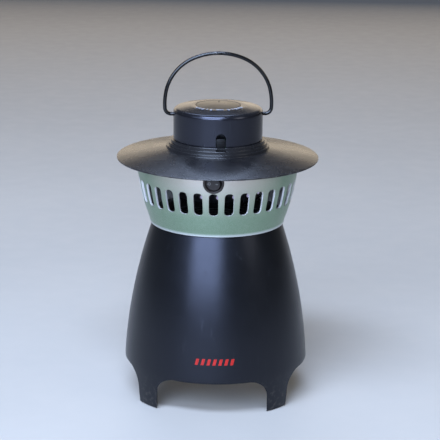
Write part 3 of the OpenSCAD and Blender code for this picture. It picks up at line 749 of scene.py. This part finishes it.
def add_leg_post(bm, quarter):
    """The post inside a leg that carries the grille and the foot pad."""
    pad_top = high("foot_pads").z
    grille = low("outlet_grille").z
    skin = HOUSING_WALL - 0.6
    top_depth, foot_depth = 9.6, 6.6
    outline = ((housing_r(grille) - skin - top_depth, grille), (housing_r(grille) - skin, grille),
               (housing_r(pad_top) - skin, pad_top), (housing_r(pad_top) - skin - foot_depth, pad_top))
    turn = 45 + 90 * quarter
    angles = steps(turn - POST_ANGLE / 2, turn + POST_ANGLE / 2, 8)
    rows = [[polar(a, r, z) for a in angles] for r, z in outline + outline[:1]]
    add_grid(bm, rows)
    for end in (0, -1):
        bm.faces.new([bm.verts.new(row[end]) for row in rows[:-1]])


def front_mark():
    """A generic row of slanted red bars printed low on the housing's front."""
    first, last = -10.2, 15.2
    bottom, top = 61.8, 68.8
    bars = 7
    pitch = (last - first) / bars
    bar, slant = 0.52 * pitch, 0.28 * pitch
    bm = bmesh.new()
    for i in range(bars):
        left = first + i * pitch
        rows = []
        for lift in (0.03, 0.14):
            for z in steps(bottom, top, 4):
                lean = (z - bottom) / (top - bottom) * slant
                rows.append([polar(left + lean + a, housing_r(z) + lift, z) for a in steps(0, bar, 5)])
        inner, outer = rows[:5], rows[5:]
        add_grid(bm, inner[::-1] + outer + inner[-1:])
        for side in (0, -1):
            add_grid(bm, [[row[side] for row in inner], [row[side] for row in outer]])
    piece(mesh_object("front_mark", bm), "housing", "housing_black", [RED_PRINT])


# ---- collar

SLOT_ALONG = 12
SLOT_ACROSS = 6
SLOT_PITCH = 360 / SLOT_COUNT
SLOT_MARGIN = 2.4


def slot_rings(turn, inset):
    """Rings of points from a slot's edge out to the edge of its cell on one skin of the collar."""
    edge = []
    for x, y in window_outline(SLOT_W, SLOT_H, SLOT_CORNER, SLOT_ALONG, SLOT_ACROSS):
        z = SLOT_Z + y
        edge.append(Vector((degrees(asin(x / (collar_r(z) - inset))), z)))
    cell = []
    for x, y in window_outline(SLOT_PITCH, SLOT_H + 2 * SLOT_MARGIN, 0, SLOT_ALONG, SLOT_ACROSS):
        cell.append(Vector((x, SLOT_Z + y)))
    rings = []
    for share in (0, 0.25, 0.55, 1):
        ring = [a.lerp(b, share) for a, b in zip(edge, cell)]
        ring.append(ring[0])
        rings.append([polar(turn + a, collar_r(z) - inset, z) for a, z in ring])
    return rings


def slotted_collar():
    """The painted collar: two skins, 32 slots, a rolled lip and the inner flange."""
    bm = bmesh.new()
    for i in range(SLOT_COUNT):
        outer = slot_rings(i * SLOT_PITCH, 0)
        inner = slot_rings(i * SLOT_PITCH, COLLAR_WALL)
        add_grid(bm, outer)
        add_grid(bm, inner, 1)
        add_grid(bm, [outer[0], inner[0]], 1)
    turns = steps(-SLOT_PITCH / 2, 360 - SLOT_PITCH / 2, SLOT_COUNT * SLOT_ACROSS)
    cell_low = SLOT_Z - SLOT_H / 2 - SLOT_MARGIN
    cell_high = SLOT_Z + SLOT_H / 2 + SLOT_MARGIN
    lip = rounded(((NECK_R + 0.4, FLANGE_Z, 0), (NECK_R + 0.4, SEAM_Z, 0.5),
                   (COLLAR_FOOT_R + 1.0, SEAM_Z, 1.1), (collar_r(SEAM_Z + 3), SEAM_Z + 3, 0)), 18)
    floor = FLANGE_Z + 2
    bands = (
        (0, [(p.x, p.y) for p in lip]),
        (0, [(collar_r(z), z) for z in steps(SEAM_Z + 3, cell_low, 8)]),
        (0, [(collar_r(z), z) for z in steps(cell_high, COLLAR_TOP, 8)]),
        (0, [(collar_r(COLLAR_TOP), COLLAR_TOP), (collar_r(COLLAR_TOP) - COLLAR_WALL, COLLAR_TOP)]),
        (1, [(collar_r(z) - COLLAR_WALL, z) for z in steps(cell_high, COLLAR_TOP, 8)]),
        (1, [(collar_r(z) - COLLAR_WALL, z) for z in steps(floor, cell_low, 6)]),
        (1, [(collar_r(floor) - COLLAR_WALL, floor), (FLANGE_IN, floor), (FLANGE_IN, FLANGE_Z),
             (NECK_R + 0.4, FLANGE_Z)]),
    )
    for finish, outline in bands:
        add_grid(bm, [[polar(a, r, z) for a in turns] for r, z in outline], finish)
    boss_top = COLLAR_TOP - BOSS_GAP
    boss = rounded(((POST_BORE_R, BOSS_Z, 0.4), (BOSS_R, BOSS_Z, 0.5), (BOSS_R, boss_top, 0),
                    (POST_BORE_R, boss_top, 0)), 30)
    for turn in BOSS_TURNS:
        add_turned(bm, boss, 40, 1, turned_to(turn) @ shifted(0, -BOSS_RING, 0))
    obj = mesh_object("collar_shell", bm)
    for material in (COLLAR, COLLAR_INSIDE):
        obj.data.materials.append(material)
    switch_bore = stepped_bore(BARREL_R + 0.1, BEZEL_R + 0.1, 12)
    inlet_bore = stepped_bore(JACK_R + 0.05, JACK_RIM_R + 0.1, 8)
    cut(obj, turned_cutter(switch_bore, at_switch()), turned_cutter(inlet_bore, at_inlet()))
    bevel(obj, 0.35, 2)
    piece(obj, "head", "collar_paint", [COLLAR, COLLAR_INSIDE], "slotted_collar")


# ---- hat


def rain_hat():
    """The wide hat: one turned shell with three rings, a neck for the cap and the latch's notch."""
    under = RING_R[0] - 2
    groove_in, groove_out, groove_top = 48, 52, DECK_Z + 6
    outline = rounded((
        (0, DECK_Z, 0), (groove_in, DECK_Z, 0), (groove_in, groove_top, 0.5),
        (groove_out, groove_top, 0.5),
        (under, DECK_Z + 3, 0.5), (under, BRIM_Z + (BRIM_R - under) * BRIM_SLOPE, 0.4),
        (BRIM_R, BRIM_Z + 0.1, 0.7), (BRIM_R, BRIM_Z + BRIM_T, 0.7),
        (RING_R[0] + 0.2, DECK_TOP - 0.1, 0.8),
        (RING_R[0], DECK_TOP + RING_H, 0.7), (RING_R[1], DECK_TOP + RING_H, 0.2),
        (RING_R[1], DECK_TOP + 2 * RING_H, 0.7), (RING_R[2], DECK_TOP + 2 * RING_H, 0.2),
        (RING_R[2], CAP_FOOT - 0.1, 0.7), (HAT_NECK_R, CAP_FOOT - 0.1, 0),
        (HAT_NECK_R, CAP_FOOT + 7, 0.6), (HAT_NECK_IN, CAP_FOOT + 7, 0.4),
        (HAT_NECK_IN, DECK_TOP, 0), (0, DECK_TOP, 0)))
    bm = bmesh.new()
    add_turned(bm, outline, 192)
    for turn in BOSS_TURNS:
        add_hat_post(bm, turn)
    obj = mesh_object("hat_shell", bm)
    notch = plate(-NOTCH_W / 2, NOTCH_W / 2, -RING_R[2] - 1, 1 - HAT_NECK_IN, 0)
    cut(obj, slab_cutter(notch, TONGUE_ROOT - EYE_R - 0.3, CAP_FOOT + 12, turned_to(CAP_TURN)))
    bevel(obj, 0.15, 2, 60)
    piece(obj, "head", "hat_black", [HAT], "rain_hat")


def add_hat_post(bm, turn):
    """A screw post under the brim, its top lost in the brim's own thickness."""
    foot = COLLAR_TOP - BOSS_GAP + 0.2
    rows = []
    for r in (POST_BORE_R, BOSS_R - 0.5):
        lower, upper = [], []
        for a in steps(0, 360, 32):
            x, y = r * sin(radians(a)), -BOSS_RING - r * cos(radians(a))
            lower.append((x, y, foot))
            upper.append((x, y, BRIM_Z + (BRIM_R - hypot(x, y)) * BRIM_SLOPE + BRIM_T / 2))
        rows.append((lower, upper))
    (inner_low, inner_high), (outer_low, outer_high) = rows
    add_grid(bm, [inner_low, outer_low, outer_high, inner_high, inner_low], 0, turned_to(turn))


# ---- cap, marks and lid


def cap_outline():
    """The cap's section: foot, wall, rounded shoulder, low dome, the lid's recess and the lining."""
    tilt = radians(DOME_TILT)
    shoulder_in = CAP_R - CAP_SHOULDER
    edge = shoulder_in + CAP_SHOULDER * sin(tilt)
    centre_z = CAP_TOP - (edge - DOME_R) * tan(tilt) - CAP_SHOULDER * cos(tilt)
    arc = [radians(a) for a in steps(0, 90 - DOME_TILT, 12)]
    outer, inner = [[(shoulder_in + r * cos(a), centre_z + r * sin(a)) for a in arc]
                    for r in (CAP_SHOULDER, CAP_SHOULDER - CAP_WALL)]
    mouth = LID_NECK_R + 0.5
    recess = LID_R + 0.35
    rim = rounded(((DOME_R - 3, CAP_TOP, 0), (recess, CAP_TOP, 0.35), (recess, LID_SEAT, 0),
                   (mouth, LID_SEAT, 0.3), (mouth, LID_UNDER, 0), (recess + CAP_WALL, LID_UNDER, 0),
                   (DOME_R - 1, CAP_TOP - CAP_WALL, 0)), 20)
    drops = ((3, 0.50), (1.6, 0.27), (0.5, 0.12), (-0.8, 0.02))
    crest = [(DOME_R + out, CAP_TOP - drop) for out, drop in drops]
    foot = rounded(((CAP_R - CAP_WALL, CAP_FOOT + 1.5, 0), (CAP_R - CAP_WALL, CAP_FOOT, 0.3),
                    (CAP_R, CAP_FOOT, 0.5), (CAP_R, CAP_FOOT + 1.5, 0)), 30)
    courses = steps(CAP_FOOT + 3, centre_z - 1.5, 18)
    wall = [(CAP_R, z) for z in courses]
    lining = [(CAP_R - CAP_WALL, z) for z in courses[::-1]]
    return foot + wall + outer + crest + rim + inner[::-1] + lining


def cap_shell():
    """The cap: a turned shell with the latch window cut in its front, and the bail's pivot bosses."""
    bm = bmesh.new()
    add_turned(bm, cap_outline(), 192)
    obj = mesh_object("cap_body", bm)
    bore_in, bore_out = 38, 56
    bore = ((0, bore_in), (BUSH_R, bore_in), (BUSH_R, bore_out), (0, bore_out))
    bores = [turned_cutter(bore, at_pivot(side)) for side in (-1, 1)]
    cut(obj, slab_cutter(latch_window(), CAP_R - 7, CAP_R + 3, at_cap_front()), *bores)
    bevel(obj, 0.4, 3, 50)
    piece(obj, "head", "cap_black", [CAP], "cap_shell")
    boss = ((BUSH_R, PIVOT_BOSS_IN), (PIVOT_BOSS_R, PIVOT_BOSS_IN), (PIVOT_BOSS_R, CAP_R - 1.5),
            (BUSH_R, CAP_R - 1.5))
    bm = bmesh.new()
    for side in (-1, 1):
        add_turned(bm, boss, 40, 0, at_pivot(side))
    piece(mesh_object("cap_bosses", bm), "head", "cap_black", [CAP])


def at_cap_front():
    """+Z points out of the cap's front, where the latch is, +Y up."""
    return turned_to(CAP_TURN) @ turned_to(90, "X")


def latch_window():
    """Outline of the arched opening that the latch's tongue shows through."""
    half = WINDOW_W / 2
    spring = WINDOW_TOP - half
    sill = CAP_FOOT - 2
    arch = [(half * cos(a), spring + half * sin(a)) for a in steps(0, pi, 24)]
    return [(-half, sill), (half, sill)] + arch


def at_pivot(side):
    """+Z runs out along the bail's pin on one side."""
    return turned_to(CAP_TURN) @ shifted(0, 0, PIVOT_Z) @ turned_to(side * 90, "Y")


def cap_marks():
    """Raised generic marks in front of the lid, light grey as a painted highlight: two rows of ticks
    with arrow heads, and an index bar.
    """
    inner, outer = 26.6, 31.6
    foot, top = CAP_TOP - 0.5, CAP_TOP + MARK_H
    ticks = ((2.6, 5.0), (1.6, 3.4), (3.0, 5.0), (1.6, 4.2))
    first_turn, tick_pitch, arrow_turn = 19, 9.6, 55
    bm = bmesh.new()
    for side in (-1, 1):
        for i, (width, length) in enumerate(ticks):
            place = turned_to(CAP_TURN + side * (first_turn + tick_pitch * i))
            tick = plate(-width / 2, width / 2, -inner - length, -inner, 0.4)
            add_slab(bm, tick, foot, top, 0, place)
        arrow = ((0, -outer), (side * 4.2, -(inner + outer) / 2), (0, -inner))
        add_slab(bm, arrow, foot, top, 0, turned_to(CAP_TURN + side * arrow_turn))
    bar = plate(-4, 4, -inner - 2.6, -inner - 0.8, 0.5)
    add_slab(bm, bar, foot, top, 0, turned_to(CAP_TURN))
    piece(bevel(mesh_object("cap_marks", bm), 0.15, 2), "head", "cap_black", [MARK_GLINT_GREY])


def scent_lid():
    """The low round lid: a crowned disc over its bayonet neck."""
    edge_z = CAP_TOP + 0.1
    disc_z = LID_SEAT + 0.8
    crown = [(r, LID_TOP - (LID_TOP - edge_z) * (r / LID_R) ** 2) for r in steps(0, LID_R - 0.5, 10)]
    neck_foot = LID_UNDER - 3.2
    body = rounded(((LID_R, edge_z - 0.15, 0.4), (LID_R, disc_z, 0.3), (LID_NECK_R, disc_z, 0),
                    (LID_NECK_R, neck_foot, 0.4), (LID_NECK_R - 2, neck_foot, 0.4),
                    (LID_NECK_R - 2, disc_z - 0.6, 0), (0, disc_z - 0.6, 0)), 15)
    bm = bmesh.new()
    add_turned(bm, crown + body, 160)
    lug = ((LID_NECK_R - 0.5, neck_foot + 0.2), (LID_LUG_R, neck_foot + 0.2),
           (LID_LUG_R, neck_foot + 2.6), (LID_NECK_R - 0.5, neck_foot + 2.6))
    lug_sweep = 22
    for turn in (60, 180, 300):
        add_sector(bm, lug, turn - lug_sweep / 2, lug_sweep)
    piece(mesh_object("lid_disc", bm), "lid", "lid_black", [LID], "scent_lid")
    bm = bmesh.new()
    add_slab(bm, plate(-0.7, 0.7, 11, 22, 0.4), LID_TOP - 1.2, LID_TOP - 0.05)
    piece(bevel(mesh_object("lid_index", bm), 0.15, 2), "lid", "lid_black", [LATCH])


# ---- bail


def bail_path():
    """(x, z, heading) stations along the bail, from one pin's inner end over the crown to the other."""
    run = 0
    heading = 0
    for radius, bend in BENDS:
        run += radius * (sin(radians(heading + bend)) - sin(radians(heading)))
        heading += bend
    x, z, heading = -run, 0, 0
    half = [(p, 0, 0) for p in steps(PIN_INNER, x, 6)[:-1]] + [(x, z, 0)]
    for radius, bend in BENDS:
        for h in steps(heading, heading + bend, max(4, round(bend / 3)))[1:]:
            a, b = radians(heading), radians(h)
            half.append((x + radius * (sin(b) - sin(a)),
                         z + radius * (cos(a) - cos(b)), h))
        heading += bend
        x, z = half[-1][:2]
    return half + [(-x, z, 360 - h) for x, z, h in half[-2::-1]]


def bail_handle():
    """The wire bail, one round tube from pin to pin."""
    sides = 24
    rows = []
    path = bail_path()
    caps = ((0, 0), (0, WIRE_R - 0.4), (0.4, WIRE_R))
    stations = [(path[0][0] + s, 0, 0, r) for s, r in caps]
    stations += [(*p, WIRE_R) for p in path[1:-1]]
    stations += [(path[-1][0] - s, 0, 360, r) for s, r in caps[::-1]]
    for x, z, heading, r in stations:
        h = radians(heading)
        ring = []
        for a in steps(0, 2 * pi, sides):
            across, up = r * cos(a), r * sin(a)
            ring.append((x - up * sin(h), across, PIVOT_Z + z + up * cos(h)))
        rows.append(ring)
    bm = bmesh.new()
    add_grid(bm, rows, 0, turned_to(CAP_TURN))
    piece(mesh_object("bail_wire", bm), "handle", "bail_enamel", [BAIL], "bail_handle")


# ---- switch and inlet


def at_switch():
    """+Z points out of the collar at the switch, +Y up its face."""
    return shifted(0, -SEAT_Y, SWITCH_Z) @ turned_to(90 + SWITCH_LEAN, "X")


def at_inlet():
    """+Z points out of the collar at the rear inlet."""
    return shifted(0, JACK_Y, SWITCH_Z) @ turned_to(-90, "X")


def switch_body():
    """The round bezel with its stepped ring, and the barrel and tabs behind it."""
    well_r = ROCKER_BALL + 0.25
    bezel = rounded((
        (well_r, -11, 0), (well_r, 1.5, 0.5), (9.3, 1.8, 0.3), (9.5, BEZEL_H, 0.3), (10.9, BEZEL_H, 0.6),
        (BEZEL_R, 1.3, 0.4), (BEZEL_R, 0, 0), (BARREL_R, 0, 0), (BARREL_R, -13, 0.5),
        (0, -13, 0), (0, -11, 0)), 15)
    bm = bmesh.new()
    add_turned(bm, bezel, 96, 0, at_switch())
    tab = plate(-0.4, 0.4, -2.4, 2.4, 0.2, 45)
    for x in (-5, 5):
        add_slab(bm, tab, -18, -12.9, 1, at_switch() @ shifted(x, 0, 0))
    piece(mesh_object("switch_bezel", bm), "head", "switch_plastic", [BEZEL, STEEL], "switch_body")


def at_rocker():
    """+Z points along the rocker's own thickness, from the level of its tilted middle."""
    return at_switch() @ shifted(0, 0, BEZEL_H - ROCKER_DEPTH) @ turned_to(-ROCKER_REST, "Y")


def rocker_top(x):
    """Height of the rocker's dished face."""
    return ROCKER_DEPTH - 1.1 + 1.0 * (abs(x) / 8) ** 1.6


def at_rocker_mark(side):
    """+Z points out of the rocker's dished face, at the mark on one side."""
    x = side * ROCKER_MARK_X
    return at_rocker() @ shifted(x, 0, rocker_top(x)) @ turned_to(-ROCKER_MARK_TILT * side, "Y")


def switch_rocker():
    """The rocker: a round pad with a dished face, and its two printed marks."""
    turns = steps(0, 360, 72)
    rows = []
    for share in (0, 0.2, 0.4, 0.6, 0.8, 0.93, 1):
        ease = 0.25 if share == 1 else 0
        flat = [polar(a, share * (ROCKER_BALL - 1), 0) for a in turns]
        rows.append([(x, y, rocker_top(x) - ease) for x, y, _ in flat])
    for z in (2.4, 1.2, 0, -1.5, -3, -4.5):
        rows.append([polar(a, 0.985 * sqrt(ROCKER_BALL ** 2 - z ** 2), z) for a in turns])
    rows.append([(0, 0, -4.5)] * len(turns))
    bm = bmesh.new()
    add_grid(bm, rows, 0, at_rocker())
    piece(mesh_object("rocker_pad", bm, 50), "rocker", "switch_plastic", [ROCKER], "switch_rocker")

    bm = bmesh.new()
    off_ring = ((1.05, -0.1), (1.05, 0.12), (1.65, 0.12), (1.65, -0.1))
    add_turned(bm, off_ring, 40, 0, at_rocker_mark(-1))
    add_slab(bm, plate(-1.5, 1.5, -0.35, 0.35, 0.2), -0.1, 0.12, 0, at_rocker_mark(1))
    piece(mesh_object("rocker_marks", bm), "rocker", "switch_plastic", [SWITCH_MARK])


# ---- latch


def latch_tongue():
    """The flat tongue in the cap's window, with a thumb ridge, its foot block and its hinge eye."""
    half = TONGUE_W / 2
    blade = rounded(((-half, TONGUE_ROOT, 0), (half, TONGUE_ROOT, 0), (half, TONGUE_TOP, 1.4),
                     (-half, TONGUE_TOP, 1.4)), 15)
    upright = at_cap_front()
    bm = bmesh.new()
    add_slab(bm, blade, TONGUE_IN, TONGUE_OUT, 0, upright)
    for z in (TONGUE_TOP - 3.2, TONGUE_TOP - 4.8):
        ridge = plate(-2.8, 2.8, z, z + 0.8, 0.3)
        add_slab(bm, ridge, TONGUE_OUT - 0.1, TONGUE_OUT + 0.35, 0, upright)
    foot = plate(-half, half, TONGUE_ROOT - EYE_R, CAP_FOOT - 0.3, 0.3)
    add_slab(bm, foot, TONGUE_OUT - 0.1, TONGUE_FOOT, 0, upright)
    eye = ((EYE_BORE_R, -half), (EYE_R, -half), (EYE_R, half), (EYE_BORE_R, half))
    hinge_line = shifted(0, -TONGUE_MID, TONGUE_ROOT) @ turned_to(90, "Y")
    add_turned(bm, eye, 32, 0, turned_to(CAP_TURN) @ hinge_line)
    obj = mesh_object("latch_blade", bm)
    bevel(obj, 0.2, 2, 60)
    piece(obj, "latch", "cap_black", [LATCH], "latch_tongue")


# ---- lamps


def at_lamp(index):
    """+Z points outwards through one lamp."""
    turn = LAMP_OFFSET + index * 360 / LAMP_COUNT
    return turned_to(turn) @ shifted(0, -LAMP_R, LAMP_ROW_Z) @ turned_to(90, "X")


def lamp_housing():
    """The round lamp housing: a turned wall with a socket ring round each lamp, and its flange."""
    top = DECK_Z - 0.1
    outline = rounded((
        (LAMP_R, LAMP_SPLIT_Z, 0.3), (LAMP_R + 0.15, LAMP_ROW_Z + 4.2, 0.4),
        (LAMP_R + 1.0, LAMP_ROW_Z + 5.2, 0.4),
        (LAMP_R + 2, top, 0), (LAMP_R - 12, top, 0), (LAMP_R - 12, top - 2.4, 0.4),
        (LAMP_R - 0.2, top - 2.4, 0), (LAMP_R - 2.2, LAMP_SPLIT_Z, 0.3)), 18)
    bm = bmesh.new()
    add_turned(bm, outline, 144)
    socket = rounded(((LED_R + 0.12, -1.5, 0), (LED_R + 0.12, 0.75, 0.25), (LED_R + 1.1, 0.75, 0.35),
                      (LED_R + 1.5, -1.5, 0)), 30)
    for i in range(LAMP_COUNT):
        add_turned(bm, socket, 32, 0, at_lamp(i))
    piece(mesh_object("lamp_shell", bm), "head", "inner_black", [LAMP_UNIT], "lamp_housing")


def lamp_cover():
    """The shallow dish that closes the lamp housing from below."""
    outline = rounded((
        (0, LAMP_FLOOR_Z, 0), (LAMP_R - 9, LAMP_FLOOR_Z, 3), (LAMP_R - 1, LAMP_SPLIT_Z - 2, 2),
        (LAMP_R, LAMP_SPLIT_Z, 0), (LAMP_R - 2.3, LAMP_SPLIT_Z, 0),
        (LAMP_R - 2.3, LAMP_SPLIT_Z + 3, 0.4), (LAMP_R - 4.4, LAMP_SPLIT_Z + 3, 0.4),
        (LAMP_R - 4.4, LAMP_SPLIT_Z - 1, 1),
        (LAMP_R - 10, LAMP_FLOOR_Z + 2.2, 2), (0, LAMP_FLOOR_Z + 2.2, 0)), 12)
    bm = bmesh.new()
    add_turned(bm, outline, 144)
    piece(mesh_object("lamp_dish", bm), "head", "inner_black", [LAMP_UNIT], "lamp_cover")


def uv_leds():
    """The lamps: a flanged cylinder with a full dome."""
    arc = [radians(a) for a in steps(0, 90, 10)]
    dome = [(LED_R * cos(a), LED_R * sin(a) - 0.8) for a in arc]
    outline = [(0, -LED_BASE), (LED_R, -LED_BASE)] + dome
    bm = bmesh.new()
    for i in range(LAMP_COUNT):
        add_turned(bm, outline, 32, 0, at_lamp(i))
    piece(mesh_object("lamp_lenses", bm), "head", "lamp_lens", [LENS], "uv_leds")


# ---- catch basket


def basket_mesh():
    """The basket's net, knotted threads of real thickness."""
    across, rows = 150, 32
    bm = bmesh.new()
    add_grid(bm, [[polar(a, BASKET_R - 0.3, z) for a in steps(0, 360, across)]
                  for z in steps(NET_LOW + 0.3, NET_HIGH - 0.3, rows)])
    obj = mesh_object("basket_net", bm)
    wire = obj.modifiers.new("threads", "WIREFRAME")
    wire.thickness = 0.5 * MM
    wire.use_even_offset = False
    bake_modifiers(obj)
    smooth(obj.data, 60)
    piece(obj, "basket", "mesh_fabric", [NET], "basket_mesh")


# ---- CAD nodes that stay


def smoothing_group():
    """Geometry nodes that weld a mesh and shade it smooth except at its edges."""
    group = bpy.data.node_groups.new("smooth_by_angle", "GeometryNodeTree")
    for side in ("INPUT", "OUTPUT"):
        group.interface.new_socket("Geometry", in_out=side, socket_type="NodeSocketGeometry")
    start, weld, faces, edges, angle, gentle, end = [group.nodes.new(kind) for kind in (
        "NodeGroupInput", "GeometryNodeMergeByDistance", "GeometryNodeSetShadeSmooth",
        "GeometryNodeSetShadeSmooth", "GeometryNodeInputMeshEdgeAngle", "FunctionNodeCompare",
        "NodeGroupOutput")]
    weld.inputs["Distance"].default_value = WELD_GAP
    faces.domain = "FACE"
    edges.domain = "EDGE"
    gentle.operation = "LESS_THAN"
    gentle.inputs[1].default_value = radians(SHARP_ANGLE)
    chain = (start, weld, faces, edges, end)
    for before, after in zip(chain, chain[1:]):
        group.links.new(before.outputs["Geometry"], after.inputs["Geometry"])
    group.links.new(angle.outputs["Unsigned Angle"], gentle.inputs[0])
    group.links.new(gentle.outputs["Result"], edges.inputs["Shade Smooth"])
    return group


# Material, slot and edge width in millimetres of the CAD nodes whose shape is right
KEPT = (
    (RUBBER, "rubber", 0.3, "foot_pads"),
    (RUBBER, "rubber", 0.15, "lid_seal"),
    (INNER, "inner_black", 0.3, "outlet_grille", "fan_duct"),
    (INNER, "inner_black", 0.25, "fan_guard"),
    (INNER, "inner_black", 0.2, "fan_impeller"),
    (LAMP_UNIT, "inner_black", 0.2, "inlet_jack"),
    (STEEL, "steel", 0, "grille_screws", "duct_screws", "lamp_screws", "hat_screws"),
    (STEEL, "steel", 0.15, "motor_shaft", "jack_nut"),
    (STEEL, "steel", 0.1, "latch_pin"),
    (MOTOR_CAN, "steel", 0.3, "fan_motor"),
    (FRAME_PLASTIC, "basket_plastic", 0.3, "basket_ring", "basket_base", "basket_frame"),
    (FRAME_PLASTIC, "inner_black", 0.3, "cartridge_cup"),
    (BOARD, "circuit_board", 0.1, "led_board", "driver_board"),
    (NYLON, "nylon", 0.15, "handle_bushes"),
    (SCENT, "cartridge", 0.5, "scent_cartridge"),
    (LEAD_BLACK, "lead_sheath", 0, "inlet_lead", "fan_lead"),
    (LEAD_RED, "lead_sheath", 0, "switch_lead"),
    (LEAD_BLUE, "lead_sheath", 0, "lamp_lead"),
)


def kept_nodes():
    """Gives each kept CAD node its material, eased edges and smooth shading."""
    group = smoothing_group()
    for material, slot, edge, *names in KEPT:
        for obj in (frame["nodes"][name] for name in names):
            obj.data.materials.clear()
            obj.data.materials.append(material)
            if edge:
                weld = obj.modifiers.new("weld", "WELD")
                weld.merge_threshold = WELD_GAP
                add_bevel(obj, edge, 2, 50)
            obj.modifiers.new("shading", "NODES").node_group = group


# ---- stage


def floor():
    """A large pale floor, well past every camera's view, with a painted falloff of light that darkens it
    from 0.9 m to 3 m out from the trap.
    """
    s = Shader("pale_floor")
    lit_floor_pool = s.mix(s.remap(s.noise(3, 4), 0.3, 0.7), (0.41, 0.388, 0.348), (0.44, 0.414, 0.368))
    # Painted falloff of light: the floor's colour darkens from 0.9 m to 3 m out from the trap's axis.
    s.put("Base Color", s.mix(s.remap(s.radius(), 0.9, 3.0), lit_floor_pool, (0.27, 0.258, 0.24)))
    s.put("Roughness", s.remap(s.noise(30, 3), 0.3, 0.7, 0.55, 0.65))
    reach = 14
    mesh = bpy.data.meshes.new("floor")
    corners = [(x * reach, y * reach, 0) for x, y in ((-1, -1), (1, -1), (1, 1), (-1, 1))]
    mesh.from_pydata(corners, [], [(0, 1, 2, 3)])
    mesh.materials.append(s.material)
    obj = bpy.data.objects.new("floor", mesh)
    bpy.context.scene.collection.objects.link(obj)


def soft_light(name, azimuth, height, distance, size, power, colour, aim):
    """A rectangular soft light on a circle round the object, unseen by the camera itself."""
    data = bpy.data.lights.new(name, "AREA")
    data.shape = "RECTANGLE"
    data.size, data.size_y = size
    data.energy = power
    data.color = colour
    obj = bpy.data.objects.new(name, data)
    obj.location = polar(azimuth, distance, height)
    obj.rotation_euler = (Vector((0, 0, aim)) - obj.location).to_track_quat("-Z", "Y").to_euler()
    obj.visible_camera = False
    bpy.context.scene.collection.objects.link(obj)


def lights():
    cool, warm, plain = (0.56, 0.70, 1.0), (1.0, 0.84, 0.64), (1.0, 0.98, 0.95)
    soft_light("window", -14, 1.15, 2.1, (1.8, 1.4), 100, cool, 0.25)
    soft_light("window_left", -52, 1.5, 2.2, (1.3, 1.0), 10, cool, 0.25)
    soft_light("sky_front", -16, 2.7, 1.5, (2.3, 0.7), 140, cool, 0.3)
    soft_light("right_fill", 62, 1.4, 2.3, (0.9, 1.2), 8, plain, 0.25)
    soft_light("rear_panel", 180, 0.80, 3.2, (4.6, 1.1), 22, warm, 0.3)
    soft_light("sky_panel", -168, 2.9, 1.8, (1.6, 1.5), 34, cool, 0.3)
    world = bpy.data.worlds.new("studio")
    world.use_nodes = True
    background = world.node_tree.nodes["Background"]
    background.inputs["Color"].default_value = (0.86, 0.88, 0.90, 1)
    background.inputs["Strength"].default_value = 0.10
    bpy.context.scene.world = world


def camera():
    """A long lens from slightly right of the front, looking down, as a person photographs it."""
    data = bpy.data.cameras.new("camera")
    data.sensor_width = 36
    data.lens = 130.9
    data.clip_end = 60
    obj = bpy.data.objects.new("camera", data)
    azimuth, distance, height = 2.5, 1.7638, 0.69165
    pitch, roll, sideways = 15.574, 0.659, 0.00345
    place = turned_to(azimuth) @ shifted(sideways, -distance, height)
    obj.matrix_world = place @ turned_to(90 - pitch, "X") @ turned_to(roll)
    bpy.context.scene.collection.objects.link(obj)
    bpy.context.scene.camera = obj
    bpy.context.scene.view_settings.view_transform = "Standard"


# ---- everything

lower_housing()
front_mark()
slotted_collar()
rain_hat()
cap_shell()
cap_marks()
scent_lid()
bail_handle()
switch_body()
switch_rocker()
latch_tongue()
lamp_housing()
lamp_cover()
uv_leds()
basket_mesh()
kept_nodes()
floor()
lights()
camera()
